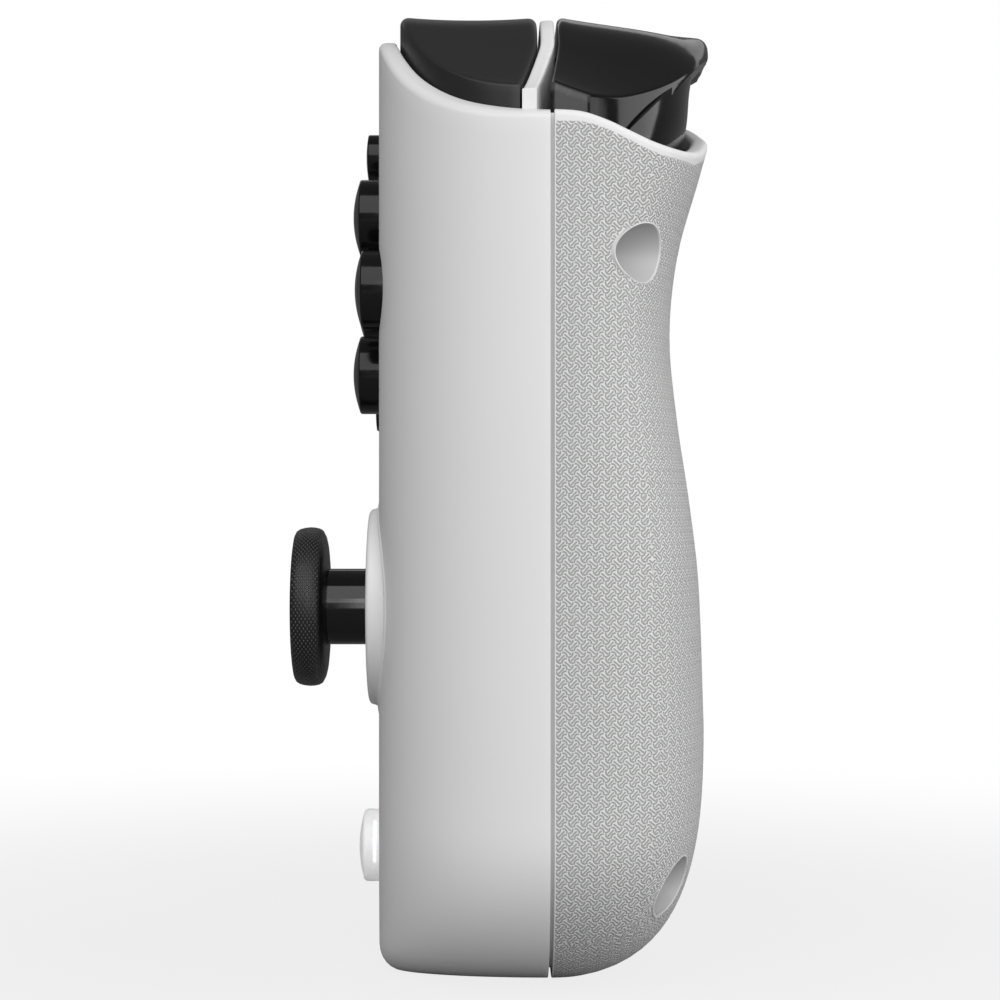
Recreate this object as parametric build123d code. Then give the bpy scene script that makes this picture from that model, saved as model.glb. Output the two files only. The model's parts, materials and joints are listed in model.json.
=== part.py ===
from build123d import *
import math
import os

# A right-hand grip that slides on to the side of a handheld console. Sizes are in millimetres.
# X runs from the console face (0) out to the side of the grip, -Y is the button face, +Z is up.
# The origin is the middle of the slide rail, on the console face.

# Body of the grip
grip_width = 54.0
grip_top = 51.65
grip_bottom = -51.65
console_thickness = 14.0
wall = 2.0
seam_y = 11.8
seam_gap = 0.4
lip_depth = 1.4
lip_thickness = 0.9
lip_gap = 0.1
front_flat_width = 33.0
foot_flat_width = 31.0
inner_back_y = 9.0
back_crown_x = 30.0
side_round_height = 17.65
side_round_width = 20.0
foot_round_height = 27.65
foot_depth = 14.0
foot_edge = 2.65
foot_edge_height = 3.25
back_fullness = 2.4
back_profile = ((-24.0, 29.0), (-8.2, 28.4), (0.75, 27.35), (9.7, 26.0), (18.7, 25.2), (27.7, 26.1),
                (36.6, 28.6), (44.0, 30.6), (54.0, 32.6))

# Rim where the shoulder controls stand. Pairs of distance and drop below the front rim
front_rim = ((0.0, 11.0), (1.3, 10.72), (2.8, 10.08), (5.0, 8.95), (8.0, 7.1), (10.7, 5.3), (14.0, 3.05),
             (17.0, 1.35), (21.0, 0.2), (25.0, 0.0), (54.0, 0.0))
side_rim = ((0.0, 10.7), (3.1, 10.9), (5.9, 11.65), (8.8, 12.65), (11.7, 13.45), (15.0, 13.8), (22.0, 13.9))
inner_rim_rise = ((0.0, 0.0), (9.0, 0.0), (15.0, 0.8), (24.0, 3.2), (29.0, 4.3), (37.0, 6.6), (44.0, 8.6),
                  (54.0, 10.7))

# Shoulder controls
control_gap = 0.35
control_rise = 2.9
control_outer_drop = 0.35
control_outer_start = 32.0
control_outer_end = 44.0
control_dip = 0.4
control_wall = 1.6
control_skirt = 3.2
divider_thickness = 1.5
divider_drop = 0.4
divider_y = 11.55
divider_sweep = 1.9
divider_sweep_start = 36.0
divider_sweep_end = 3.5
frame_z = 33.0
frame_thickness = 1.6
bumper_pin_x = 8.0
bumper_pin_z = 46.6
bumper_pin_radius = 1.0
trigger_pin_y = 15.0
trigger_pin_z = 40.5
trigger_pin_radius = 1.25
trigger_skirt_z = 36.5
trigger_rise = 3.15
trigger_sweep = 0.95
trigger_lean = 1.5
trigger_roll = 4.6
trigger_roll_start = 24.0
trigger_corner_drop = 3.0
trigger_facet = 4.1
trigger_undercut = 0.62
trigger_undercut_z = 51.5
trigger_tip_y = 29.9
trigger_tip_x = 24.0
trigger_cap_depth = 3.7
trigger_inner_lift = 0.5
trigger_side_inset = 0.8
trigger_skirt_shift = 1.2
trigger_angle = 12.0
magnet_at = (24.0, 19.5, 43.0)
magnet_radius = 1.5
magnet_thickness = 1.5
magnet_boss_wall = 0.8
frame_tab_thickness = 1.2
pin_clearance = 0.05
ear_thickness = 2.4
ear_radius = 2.2
trigger_ears = ((10.0, 12.4), (36.0, 38.4))
trigger_lugs = ((12.7, 15.1), (33.3, 35.7))
trigger_spring_span = (18.0, 23.0)
trigger_spring_radius = 2.3
foot_thickness = 1.4

# Face buttons
cluster_x = 25.0
cluster_z = 23.9
button_spacing = 8.92
button_radius = 4.43
button_proud = 3.3
button_dome = 0.95
button_clearance = 0.18
button_flange = 0.72
flange_thickness = 1.0
outer_button_drop = 0.65
button_stem_radius = 2.2
pad_thickness = 0.6
pad_dome_height = 2.0

# Small buttons
menu_x = 14.0
menu_z = 41.2
menu_radius = 2.8
menu_proud = 2.4
function_x = 14.0
function_z = 11.2
function_radius = 2.3
function_proud = 1.3
home_x = 25.0
home_z = -38.6
home_radius = 4.1
home_proud = 2.6
home_dome = 0.6
home_edge = 0.4
small_travel = 0.6
small_dome = 0.3
small_edge = 0.2
function_dome = 0.15
switch_half = 1.6
switch_body = 0.9
switch_height = 1.3

# Thumb stick
stick_x = 27.4
stick_z = -11.3
pivot_y = 3.0
stick_cap_radius = 8.97
stick_cap_front = -16.8
stick_cap_thickness = 3.7
stick_shaft_radius = 4.25
stick_stem_radius = 1.9
stick_stem_reach = 4.0
skirt_radius = 11.0
skirt_thickness = 0.8
skirt_angle = 59.0
stick_click = 0.5
bezel_radius = 10.9
bezel_foot_radius = 12.0
bezel_opening = 9.0
bezel_proud = 1.3
bezel_hole = 10.2
housing_half = 6.5
housing_wall = 1.0
housing_front = 0.3
housing_back = 9.4
trunnion_radius = 1.0

# Boards
board_front = -1.0
board_thickness = 1.2
board_left = 4.6
board_right = 44.0
board_top = 44.0
board_bottom = -46.0
post_radius = 2.2
post_hole_radius = 0.8
frame_posts = ((12.6, 31.0), (38.5, 31.0))
board_posts = ((8.0, 5.0), (42.5, 6.0), (8.0, -28.0), (42.0, -29.0))
bracket_post_reach = 14.5
bracket_thickness = 1.0

# Slide rail and side plate
window_front = -4.0
window_back = 7.4
window_half_height = 45.0
plate_flange = 0.9
plate_flange_thickness = 1.2
plate_clearance = 0.12
rail_half_length = 42.0
rail_base_half = 3.05
rail_base_thickness = 0.8
rail_neck_half = 1.6
rail_head_half = 3.0
rail_reach = 3.4
rail_head_thickness = 1.2
rail_screw_pitch = 30.0
rail_screw_radius = 0.8

# Contacts
contact_count = 8
contact_pitch = 2.0
contact_width = 2.6
contact_bottom = -41.0

# Latch
latch_z = 29.0
latch_half_height = 2.5
latch_reach = 1.6
latch_end = 9.5
latch_web = 0.65
latch_ramp_x = 5.2
latch_pocket = 2.8
latch_front = 3.95
latch_thickness = 2.5
release_x = 6.45
release_radius = 2.5
release_proud = 1.3
release_collar_y = 12.2
latch_spring_end = 14.5
latch_spring_radius = 1.1
stem_width = 3.4
stem_half_height = 1.2

# Case screws. Pairs of X and Z
case_screws = ((49.85, 26.3), (44.0, -40.3), (9.0, 20.0), (9.0, -38.0))
well_radius = 3.25
well_wall = 1.2
well_floor = 16.0
well_floor_thickness = 1.5
screw_head_radius = 2.5
screw_head_thickness = 1.7
screw_radius = 1.1
screw_length = 9.0
boss_radius = 2.6

# Battery and motor
battery_size = (23.0, 8.4, 34.0)
battery_at = (26.0, 17.2, -23.0)
tray_wall = 1.4
motor_at = (20.0, 17.4, 7.0)
motor_radius = 4.0
motor_length = 12.0
boot_thickness = 1.1

# Values that follow from the sizes above
front_y = -console_thickness / 2
inner_front = front_y + wall
board_back = board_front + board_thickness
pad_front = board_front - pad_thickness - pad_dome_height
switch_top = board_front - switch_height
frame_top = frame_z + frame_thickness
bracket_y = housing_back
trigger_side_x = grip_width - wall - control_gap - trigger_side_inset
control_offset = divider_thickness / 2 + control_gap
latch_back = latch_front + latch_thickness
far = 200.0
button_places = {
    "top": (cluster_x, cluster_z + button_spacing),
    "outer": (cluster_x + button_spacing, cluster_z),
    "bottom": (cluster_x, cluster_z - button_spacing),
    "inner": (cluster_x - button_spacing, cluster_z),
}
small_buttons = {
    "menu": (menu_x, menu_z, menu_radius, menu_proud, small_dome),
    "function": (function_x, function_z, function_radius, function_proud, function_dome),
    "home": (home_x, home_z, home_radius, home_proud, home_dome),
}
bracket_posts = ((stick_x - bracket_post_reach, stick_z), (stick_x + bracket_post_reach, stick_z))


def through(points, at):
    """Value at `at` on a smooth curve through (position, value) pairs."""
    last = len(points) - 2
    i = min(max(sum(p[0] <= at for p in points) - 1, 0), last)
    (a, fa), (b, fb) = points[i], points[i + 1]

    def slope(k):
        low, high = points[max(k - 1, 0)], points[min(k + 1, last + 1)]
        return (high[1] - low[1]) / (high[0] - low[0])

    t = (min(max(at, points[0][0]), points[-1][0]) - a) / (b - a)
    rise = (2 * t**3 - 3 * t**2 + 1) * fa + (3 * t**2 - 2 * t**3) * fb
    return rise + (b - a) * ((t**3 - 2 * t**2 + t) * slope(i) + (t**3 - t**2) * slope(i + 1))


def fall(t, power=2.0):
    """How far a rounded corner has dropped, from 0 at its start to 1 at its end."""
    t = min(max(t, 0.0), 1.0)
    return 1 - (1 - t**power) ** (1 / power)


def block(x0, x1, y0, y1, z0, z1):
    return Pos((x0 + x1) / 2, (y0 + y1) / 2, (z0 + z1) / 2) * Box(x1 - x0, y1 - y0, z1 - z0)


def rod_x(y, z, radius, x0, x1):
    return Pos((x0 + x1) / 2, y, z) * Rot(0, 90, 0) * Cylinder(radius, x1 - x0)


def rod_y(x, z, radius, y0, y1):
    return Pos(x, (y0 + y1) / 2, z) * Rot(90, 0, 0) * Cylinder(radius, y1 - y0)


def rod_z(x, y, radius, z0, z1):
    return Pos(x, y, (z0 + z1) / 2) * Cylinder(radius, z1 - z0)


def turned_y(x, z, outline):
    """Solid turned about a line along Y. The outline is a list of edges in (radius, Y)."""
    face = make_face(outline)
    return Pos(x, 0, z) * revolve(face, Axis.Y, 360)


def joined(shapes):
    result = shapes[0]
    for shape in shapes[1:]:
        result = result + shape
    return result


# Body of the grip

def body_limits(z, inset):
    """Width, front, back and corner centres of the level section at height z."""
    foot = grip_bottom + inset
    side_start = grip_bottom + side_round_height
    side_drop = fall((side_start - z) / (side_start - foot))
    width = grip_width - inset - (side_round_width - inset) * side_drop
    flat = front_flat_width - (front_flat_width - foot_flat_width) * side_drop
    edge_start = grip_bottom + foot_edge_height
    edge = max(foot_edge - inset, 0.3)
    front = front_y + inset + edge * fall((edge_start - z) / (edge_start - foot))
    foot_start = grip_bottom + foot_round_height
    depth = through(back_profile, max(z, foot_start)) - inset
    if z < foot_start:
        depth = foot_depth + (depth - foot_depth) * (1 - fall((foot_start - z) / (foot_start - foot), 2.6))
    return width, front, depth, flat


def quarter(centre, sizes, power, start, stop, count=11):
    """Points on a quarter of a rounded outline about a centre."""
    points = []
    for i in range(count):
        angle = math.radians(start + (stop - start) * i / (count - 1))
        c = max(math.cos(angle), 0.0) ** (2 / power)
        s = max(math.sin(angle), 0.0) ** (2 / power)
        points.append((centre[0] + sizes[0] * c, centre[1] + sizes[1] * s))
    return points


def body_section(z, inset):
    width, front, back, flat = body_limits(z, inset)
    crown = width * back_crown_x / grip_width
    inner_y = inner_back_y - inset
    front_corner = quarter((flat, seam_y), (width - flat, front - seam_y), 2.0, 90, 0)
    back_corner = quarter((crown, seam_y), (width - crown, back - seam_y), back_fullness, 0, 90, 13)
    inner_corner = quarter((crown, inner_y), (inset - crown, back - inner_y), 2.0, 90, 0)
    at = lambda p: (p[0], p[1], z)
    return Wire([
        Edge.make_line(at((inset, front)), at(front_corner[0])),
        Edge.make_spline([at(p) for p in front_corner], tangents=[(1, 0, 0), (0, 1, 0)]),
        Edge.make_spline([at(p) for p in back_corner], tangents=[(0, 1, 0), (-1, 0, 0)]),
        Edge.make_spline([at(p) for p in inner_corner], tangents=[(-1, 0, 0), (0, -1, 0)]),
        Edge.make_line(at(inner_corner[-1]), at((inset, front))),
    ])


def grip_body(inset):
    """The whole form of the grip, shrunk all round by the inset."""
    foot = grip_bottom + inset
    side_start = grip_bottom + side_round_height
    levels = [grip_top + 6, grip_top - 4, 40.0, 32.0, 24.0, 16.0, 8.0, 0.0, -8.0, -16.0, -24.0]
    levels = [z for z in levels if z > side_start + 3]
    for angle in (0, 15, 30, 43, 55, 66, 75, 82, 87, 90):
        levels.append(side_start - (side_start - foot) * math.sin(math.radians(angle)))
    return Solid.make_loft([body_section(z, inset) for z in levels])


def height_region(height, x_range, y_range, low, columns=16, rows=12):
    """Everything from the level low up to the surface z = height(x, y)."""
    points = []
    for j in range(rows):
        y = y_range[0] + (y_range[1] - y_range[0]) * j / (rows - 1)
        row = []
        for i in range(columns):
            x = x_range[0] + (x_range[1] - x_range[0]) * i / (columns - 1)
            row.append((x, y, height(x, y)))
        points.append(row)
    surface = Face.make_surface_from_array_of_points(points, tol=0.01)
    prism = extrude(surface, amount=far, dir=(0, 0, -1))
    return prism & block(x_range[0] - 1, x_range[1] + 1, y_range[0] - 1, y_range[1] + 1, low, far)


def front_rim_height(x, y):
    return grip_top - through(front_rim, grip_width - x)


def back_rim_height(x, y):
    drop = through(side_rim, y - seam_y)
    return grip_top - drop + through(inner_rim_rise, grip_width - x)


def smooth_step(value, low, high):
    t = min(max((value - low) / (high - low), 0.0), 1.0)
    return 3 * t**2 - 2 * t**3


def outer_drop(x):
    """The shoulder controls sink a little towards the outer side."""
    return control_outer_drop * smooth_step(x, control_outer_start, control_outer_end)


def control_height(x, y):
    """Top of the bumper and the divider: the rim's slope, lifted, with a slight hollow along Y."""
    middle = (inner_front + divider_y) / 2
    half = (divider_y - inner_front) / 2
    hollow = control_dip * (1 - min(abs(y - middle) / half, 1.0) ** 2)
    return front_rim_height(x, y) + control_rise - hollow - outer_drop(x)


def trigger_height(x, y):
    """Top of the trigger: it leans back and rolls off towards the outer side, most at its outer tip."""
    along = max(y - divider_y, 0.0) / (trigger_tip_y - divider_y)
    out = max(x - trigger_roll_start, 0.0) / (trigger_side_x - trigger_roll_start)
    roll = trigger_roll * along**0.85 * out**2 / (out + 0.1)
    corner = trigger_corner_drop * along**6 * smooth_step(x, trigger_roll_start + 2, trigger_roll_start + 12)
    return front_rim_height(x, y) + trigger_rise - trigger_lean * along**0.8 - roll - corner - outer_drop(x)


def trigger_under(x, y):
    """Underside of the trigger's cap. It is higher over the inner rim, which it swings down to."""
    lift = trigger_inner_lift * (1 - smooth_step(x, 10.0, 30.0))
    return trigger_height(x, y) - trigger_cap_depth + lift


def divider_line(x, sweep=divider_sweep):
    """Middle of the divider in plan. Its outer end sweeps forward."""
    return divider_y - sweep * smooth_step(x, divider_sweep_start, grip_width - divider_sweep_end)


def plan_region(offset, side, z0, z1, sweep=divider_sweep):
    """Everything in front of (-1) or behind (1) the divider's line moved by the offset."""
    end = grip_width - divider_sweep_end
    steps = [divider_sweep_start + (end - divider_sweep_start) * i / 5 for i in range(6)]
    curve = [(x, divider_line(x, sweep) + offset, z0) for x in steps]
    edge = side * 60.0
    corners = [curve[-1], (grip_width + 2, curve[-1][1], z0), (grip_width + 2, edge, z0), (-1, edge, z0),
               (-1, curve[0][1], z0), curve[0]]
    swept = Edge.make_spline(curve, tangents=[(1, 0, 0), (1, 0, 0)])
    wire = Wire([swept] + [Edge.make_line(a, b) for a, b in zip(corners, corners[1:])])
    return extrude(Face(wire), amount=z1 - z0, dir=(0, 0, 1))


outer = grip_body(0.0)
inner = grip_body(wall)
fitting = grip_body(wall + control_gap)


def screw_y(x, z, head_y, head_radius, head_thickness, radius, length):
    """A screw that points towards the front, with a cross recess in its head."""
    head = rod_y(x, z, head_radius, head_y, head_y + head_thickness)
    slot = head_radius * 1.1
    depth = head_thickness * 0.6
    recess = block(x - slot / 2, x + slot / 2, head_y + depth, far, z - 0.3, z + 0.3)
    recess = recess + block(x - 0.3, x + 0.3, head_y + depth, far, z - slot / 2, z + slot / 2)
    return head - recess + rod_y(x, z, radius, head_y - length, head_y)


def front_shell():
    front_half = block(-1, far, -far, seam_y - seam_gap / 2, -far, far)
    rim = height_region(front_rim_height, (-2, grip_width + 2), (front_y - 3, seam_y + 4), -far)
    shell = (outer - inner) & front_half & rim
    tongue_zone = block(-1, far, seam_y - seam_gap, seam_y + lip_depth, -far, far)
    back_rim = height_region(back_rim_height, (-2, grip_width + 2), (seam_y - 3, 36), -far)
    shell = shell + ((grip_body(wall - lip_thickness) - inner) & tongue_zone & back_rim & rim)
    # window for the side plate
    shell = shell - block(-1, wall + 0.5, window_front, window_back, -window_half_height, window_half_height)
    # button holes, counterbored from inside where the face curves
    for x, z in button_places.values():
        shell = shell - rod_y(x, z, button_radius + button_clearance, -far, 0)
        shell = shell - rod_y(x, z, button_radius + button_flange + 0.25, inner_front, 0)
    for x, z, radius, proud, dome in small_buttons.values():
        shell = shell - rod_y(x, z, radius + button_clearance, -far, 0)
    shell = shell - rod_y(stick_x, stick_z, bezel_hole, -far, inner_front + 3)
    # posts for the boards and bosses for the case screws, trimmed to the inside of the face
    posts = []
    for x, z in board_posts + frame_posts:
        posts.append(rod_y(x, z, post_radius, -far, board_front) - rod_y(x, z, 0.8, board_front - 1.4, 0))
    for x, z in bracket_posts:
        posts.append(rod_y(x, z, post_radius, -far, bracket_y) - rod_y(x, z, 0.8, bracket_y - 4, far))
    for x, z in case_screws:
        boss = rod_y(x, z, boss_radius, -far, well_floor - well_floor_thickness)
        posts.append(boss - rod_y(x, z, screw_radius, 2, far))
    keep = grip_body(wall / 2) & block(-1, far, -far, seam_y, -far, far) + inner
    for post in posts:
        shell = shell + (post & keep)
    return shell


def back_shell():
    back_half = block(-1, far, seam_y + seam_gap / 2, far, -far, far)
    rim = height_region(back_rim_height, (-2, grip_width + 2), (seam_y - 3, 36), -far)
    shell = (outer - inner) & back_half
    # rebate for the front shell's tongue
    rebate = grip_body(wall - lip_thickness - lip_gap) - grip_body(wall + 1.5)
    shell = shell - (rebate & block(-1, far, seam_y - 1, seam_y + lip_depth + 0.15, -far, far))
    inside_seam = block(-1, far, seam_y + lip_depth + 0.15, far, -far, far)
    for x, z in case_screws:
        tube = rod_y(x, z, well_radius + well_wall, well_floor - well_floor_thickness, far)
        shell = shell + (tube & outer & inside_seam)
        shell = shell - rod_y(x, z, well_radius, well_floor, far)
        shell = shell - rod_y(x, z, screw_radius + 0.15, 0, far)
    shell = shell - rod_y(release_x, latch_z, release_radius + 0.2, seam_y, far)
    return shell & rim


def side_plate():
    c = plate_clearance
    h = window_half_height
    plate = block(0, wall + 0.05, window_front + c, window_back - c, -h + c, h - c)
    plate = fillet(plate.edges().filter_by(Axis.X), 1.2)
    flange = block(wall + 0.05, wall + plate_flange_thickness, window_front - plate_flange,
                   window_back + plate_flange, -h - plate_flange, h + plate_flange)
    plate = plate + flange
    recess = rail_half_length + 1.9
    half = rail_base_half + 0.05
    plate = plate - block(-1, rail_base_thickness, -half, half, -recess, recess)
    for z in (-rail_screw_pitch, 0, rail_screw_pitch):
        plate = plate - rod_x(0, z, rail_screw_radius, 0, far)
    plate = plate - block(-1, far, latch_front - 0.15, latch_back + 0.15,
                          latch_z - latch_half_height - 0.15, latch_z + latch_half_height + 0.15)
    plate = plate - block(-1, far, *contact_space())
    return plate


def contact_space():
    """Y and Z limits of the contact block."""
    contact_top = contact_bottom + contact_pitch * (contact_count + 1)
    return latch_front, latch_front + contact_width, contact_bottom, contact_top


def slide_rail():
    base = block(0, rail_base_thickness, -rail_base_half, rail_base_half, -rail_half_length - 1.8,
                 rail_half_length + 1.8)
    neck = block(-rail_reach, 0, -rail_neck_half, rail_neck_half, -rail_half_length, rail_half_length)
    head = block(-rail_reach, -rail_reach + rail_head_thickness, -rail_head_half, rail_head_half,
                 -rail_half_length, rail_half_length)
    lead = chamfer(head.edges().filter_by(Axis.X), 1.2)
    lead = fillet(lead.edges().filter_by(Axis.Z), 0.3)
    rail = base + neck + lead
    for z in (-rail_screw_pitch, 0, rail_screw_pitch):
        rail = rail - rod_x(0, z, rail_screw_radius + 0.1, -far, far)
        rail = rail - Pos(-rail_reach + 0.4, 0, z) * Rot(0, -90, 0) * Cone(0.9, 1.7, 0.81)
    return rail


def rail_screws():
    screws = []
    for z in (-rail_screw_pitch, 0, rail_screw_pitch):
        cone = Pos(-rail_reach + 0.4, 0, z) * Rot(0, -90, 0) * Cone(0.8, 1.6, 0.8)
        recess = block(-rail_reach - 1, -rail_reach + 0.5, -0.9, 0.9, z - 0.22, z + 0.22)
        recess = recess + block(-rail_reach - 1, -rail_reach + 0.5, -0.22, 0.22, z - 0.9, z + 0.9)
        screws.append(cone + rod_x(0, z, rail_screw_radius, -rail_reach + 0.7, wall + 1.0) - recess)
    return screws


# Latch and release

def rail_latch():
    back = latch_back
    low = latch_front + latch_web
    ramp = latch_thickness - latch_web
    pocket = latch_ramp_x - latch_pocket
    outline = Polyline((-latch_reach, latch_front), (latch_end, latch_front), (latch_end, back),
                       (latch_ramp_x + ramp, back), (latch_ramp_x, low), (pocket, low), (pocket, back),
                       (-latch_reach + 1.4, back), (-latch_reach, back - 1.4), close=True)
    bar = extrude(Plane.XY * make_face(outline), amount=2 * latch_half_height)
    return Pos(0, 0, latch_z - latch_half_height) * bar


def release_back(x):
    """Y of the back surface at the release button."""
    width, front, back, flat = body_limits(latch_z, 0.0)
    reach = (back_crown_x - x) / back_crown_x
    return inner_back_y + (back - inner_back_y) * math.sqrt(1 - reach * reach)


def release_button():
    x = release_x
    outer_y = release_back(x) + release_proud
    head = rod_y(x, latch_z, release_radius, release_collar_y - 2.0, outer_y)
    head = fillet(head.edges().sort_by(Axis.Y)[-1], 0.6)
    collar = rod_y(x, latch_z, release_radius + 0.5, release_collar_y - 1.0, release_collar_y)
    # the stem ends in a slope that bears on the latch's ramp
    low = latch_back - 0.25
    slope = latch_ramp_x - (latch_front + latch_web) - 0.06 + low
    inner_x = latch_ramp_x - 1.0
    outer_x = inner_x + stem_width
    outline = Polyline((inner_x, low), (slope, low), (slope + 1.2, low + 1.2), (outer_x, low + 1.2),
                       (outer_x, release_collar_y - 1.5), (inner_x, release_collar_y - 1.5), close=True)
    stem = extrude(make_face(outline), amount=2 * stem_half_height)
    return head + collar + Pos(0, 0, latch_z - stem_half_height) * stem


def latch_spring():
    y = latch_front + latch_thickness / 2
    coil = rod_x(y, latch_z, latch_spring_radius, latch_end, latch_spring_end)
    return coil - rod_x(y, latch_z, latch_spring_radius - 0.4, latch_end - 1, latch_spring_end + 1)


def contact_block():
    y0, y1, z0, z1 = contact_space()
    return block(0.25, wall + 1.4, y0, y1, z0, z1)


def contact_pins():
    y0, y1, z0, z1 = contact_space()
    pins = []
    for i in range(contact_count):
        z = z0 + contact_pitch * (i + 1)
        pins.append(block(-0.35, 0.25, y0 + 0.6, y1 - 0.6, z - 0.5, z + 0.5))
    return pins


# Shoulder controls

def shoulder_frame():
    plate = block(3.2, 46.0, board_back + 0.6, 20.0, frame_z, frame_top)
    plate = plate & grip_body(wall + 0.5)
    for x, z in frame_posts:
        tab = block(x - 3, x + 3, board_back, board_back + frame_tab_thickness, z - 3, frame_top)
        plate = plate + (tab - rod_y(x, z, 0.9, -far, far))
    # stop for the latch spring
    stop_x = latch_spring_end
    stop = block(stop_x, stop_x + 1.5, board_back, latch_back, latch_z - 1.5, frame_z + 0.5)
    plate = plate + stop
    for x, z in case_screws:
        plate = plate - rod_y(x, z, well_radius + well_wall + 0.5, -far, far)
    return plate


def shoulder_divider():
    t = divider_thickness / 2
    web = plan_region(t, -1, frame_top, far) & plan_region(-t, 1, frame_top, far)
    web = web & height_region(lambda x, y: control_height(x, y) - divider_drop, (-2, grip_width + 2),
                              (front_y - 3, seam_y + 6), -far)
    web = web & grip_body(wall + 0.15)
    web = web - rod_y(bumper_pin_x, bumper_pin_z, bumper_pin_radius, -far, divider_y + 0.2)
    # foot that joins the frame, and the front ear of the bumper's pin
    foot = block(4, 45, divider_y - 3.4, divider_y + 2.5, frame_top, frame_top + foot_thickness)
    ear = block(bumper_pin_x - 2, bumper_pin_x + 2, board_back + 0.8, board_back + 0.8 + ear_thickness / 2,
                frame_top, bumper_pin_z + 2.2)
    rib = block(bumper_pin_x - 2, bumper_pin_x + 2, board_back + 0.8, divider_y, frame_top,
                frame_top + foot_thickness)
    ear = ear - rod_y(bumper_pin_x, bumper_pin_z, bumper_pin_radius, -far, far)
    part = web + foot + rib + ear
    for x0, x1 in trigger_ears:
        ear = rod_x(trigger_pin_y, trigger_pin_z, ear_radius, x0, x1)
        ear = ear + block(x0, x1, trigger_pin_y - ear_radius, trigger_pin_y + ear_radius,
                          frame_top, trigger_pin_z)
        part = part + (ear - rod_x(trigger_pin_y, trigger_pin_z, trigger_pin_radius, -far, far))
    return part & grip_body(wall + 0.15)


def bumper():
    gap = control_offset
    top = height_region(control_height, (-2, grip_width + 2), (front_y - 3, seam_y + 6), -far)
    inside_top = height_region(lambda x, y: control_height(x, y) - control_wall, (-2, grip_width + 2),
                               (front_y - 3, seam_y + 6), -far)
    under = height_region(lambda x, y: front_rim_height(x, y) - control_skirt, (-2, grip_width + 2),
                          (front_y - 3, seam_y + 6), -far)
    solid = fitting & plan_region(-gap, -1, 30, 70) & top
    hollow = grip_body(wall + control_gap + control_wall) & inside_top
    hollow = hollow & plan_region(-gap - control_wall, -1, 30, 70)
    shape = solid - hollow - under
    y0 = board_back + 0.8 + ear_thickness / 2 + 0.3
    lug = block(bumper_pin_x - 2, bumper_pin_x + 2, y0, divider_y - gap - 0.6, bumper_pin_z - 2,
                grip_top + control_rise - 1.2)
    lug = lug - rod_y(bumper_pin_x, bumper_pin_z, bumper_pin_radius + pin_clearance, -far, far)
    return shape + lug


def bumper_pin():
    return rod_y(bumper_pin_x, bumper_pin_z, bumper_pin_radius, board_back + 0.8, divider_y + 0.2)


def trigger_plan(z0, z1):
    """Outline of the trigger's cap from above, with a corner where the side starts to wrap round."""
    out = trigger_side_x
    inner_x = wall + control_gap
    tip = trigger_tip_y
    start = seam_y - 3
    facet_y = seam_y + trigger_facet
    points = [(out, facet_y), (out - 2.3, tip - 10.2), (out - 7.4, tip - 5.2),
              (out - 12.8, tip - 2.0), (trigger_tip_x + 7, tip - 0.3), (trigger_tip_x, tip),
              (trigger_tip_x - 9, tip - 0.4), (trigger_tip_x - 17, tip - 2.6), (inner_x, tip - 7.5)]
    corners = [(inner_x, tip - 7.5), (inner_x, start), (out, start), (out, facet_y)]
    at = lambda p: (p[0], p[1], z0)
    sides = [Edge.make_line(at(p), at(q)) for p, q in zip(corners, corners[1:])]
    wire = Wire([Edge.make_spline([at(p) for p in points], tangents=[(-0.4, 1, 0), (-0.5, -1, 0)])] + sides)
    plan = extrude(Face(wire), amount=z1 - z0, dir=(0, 0, 1))
    # the back leans in below the tip
    low = trigger_undercut_z - z0
    slope = Polyline((tip, trigger_undercut_z), (tip - low * trigger_undercut, z0), (far, z0),
                     (far, trigger_undercut_z), close=True)
    plan = plan - Pos(-1, 0, 0) * extrude(Plane.YZ * make_face(slope), amount=far)
    return plan & plan_region(control_offset, 1, z0, z1, trigger_sweep)


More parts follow.
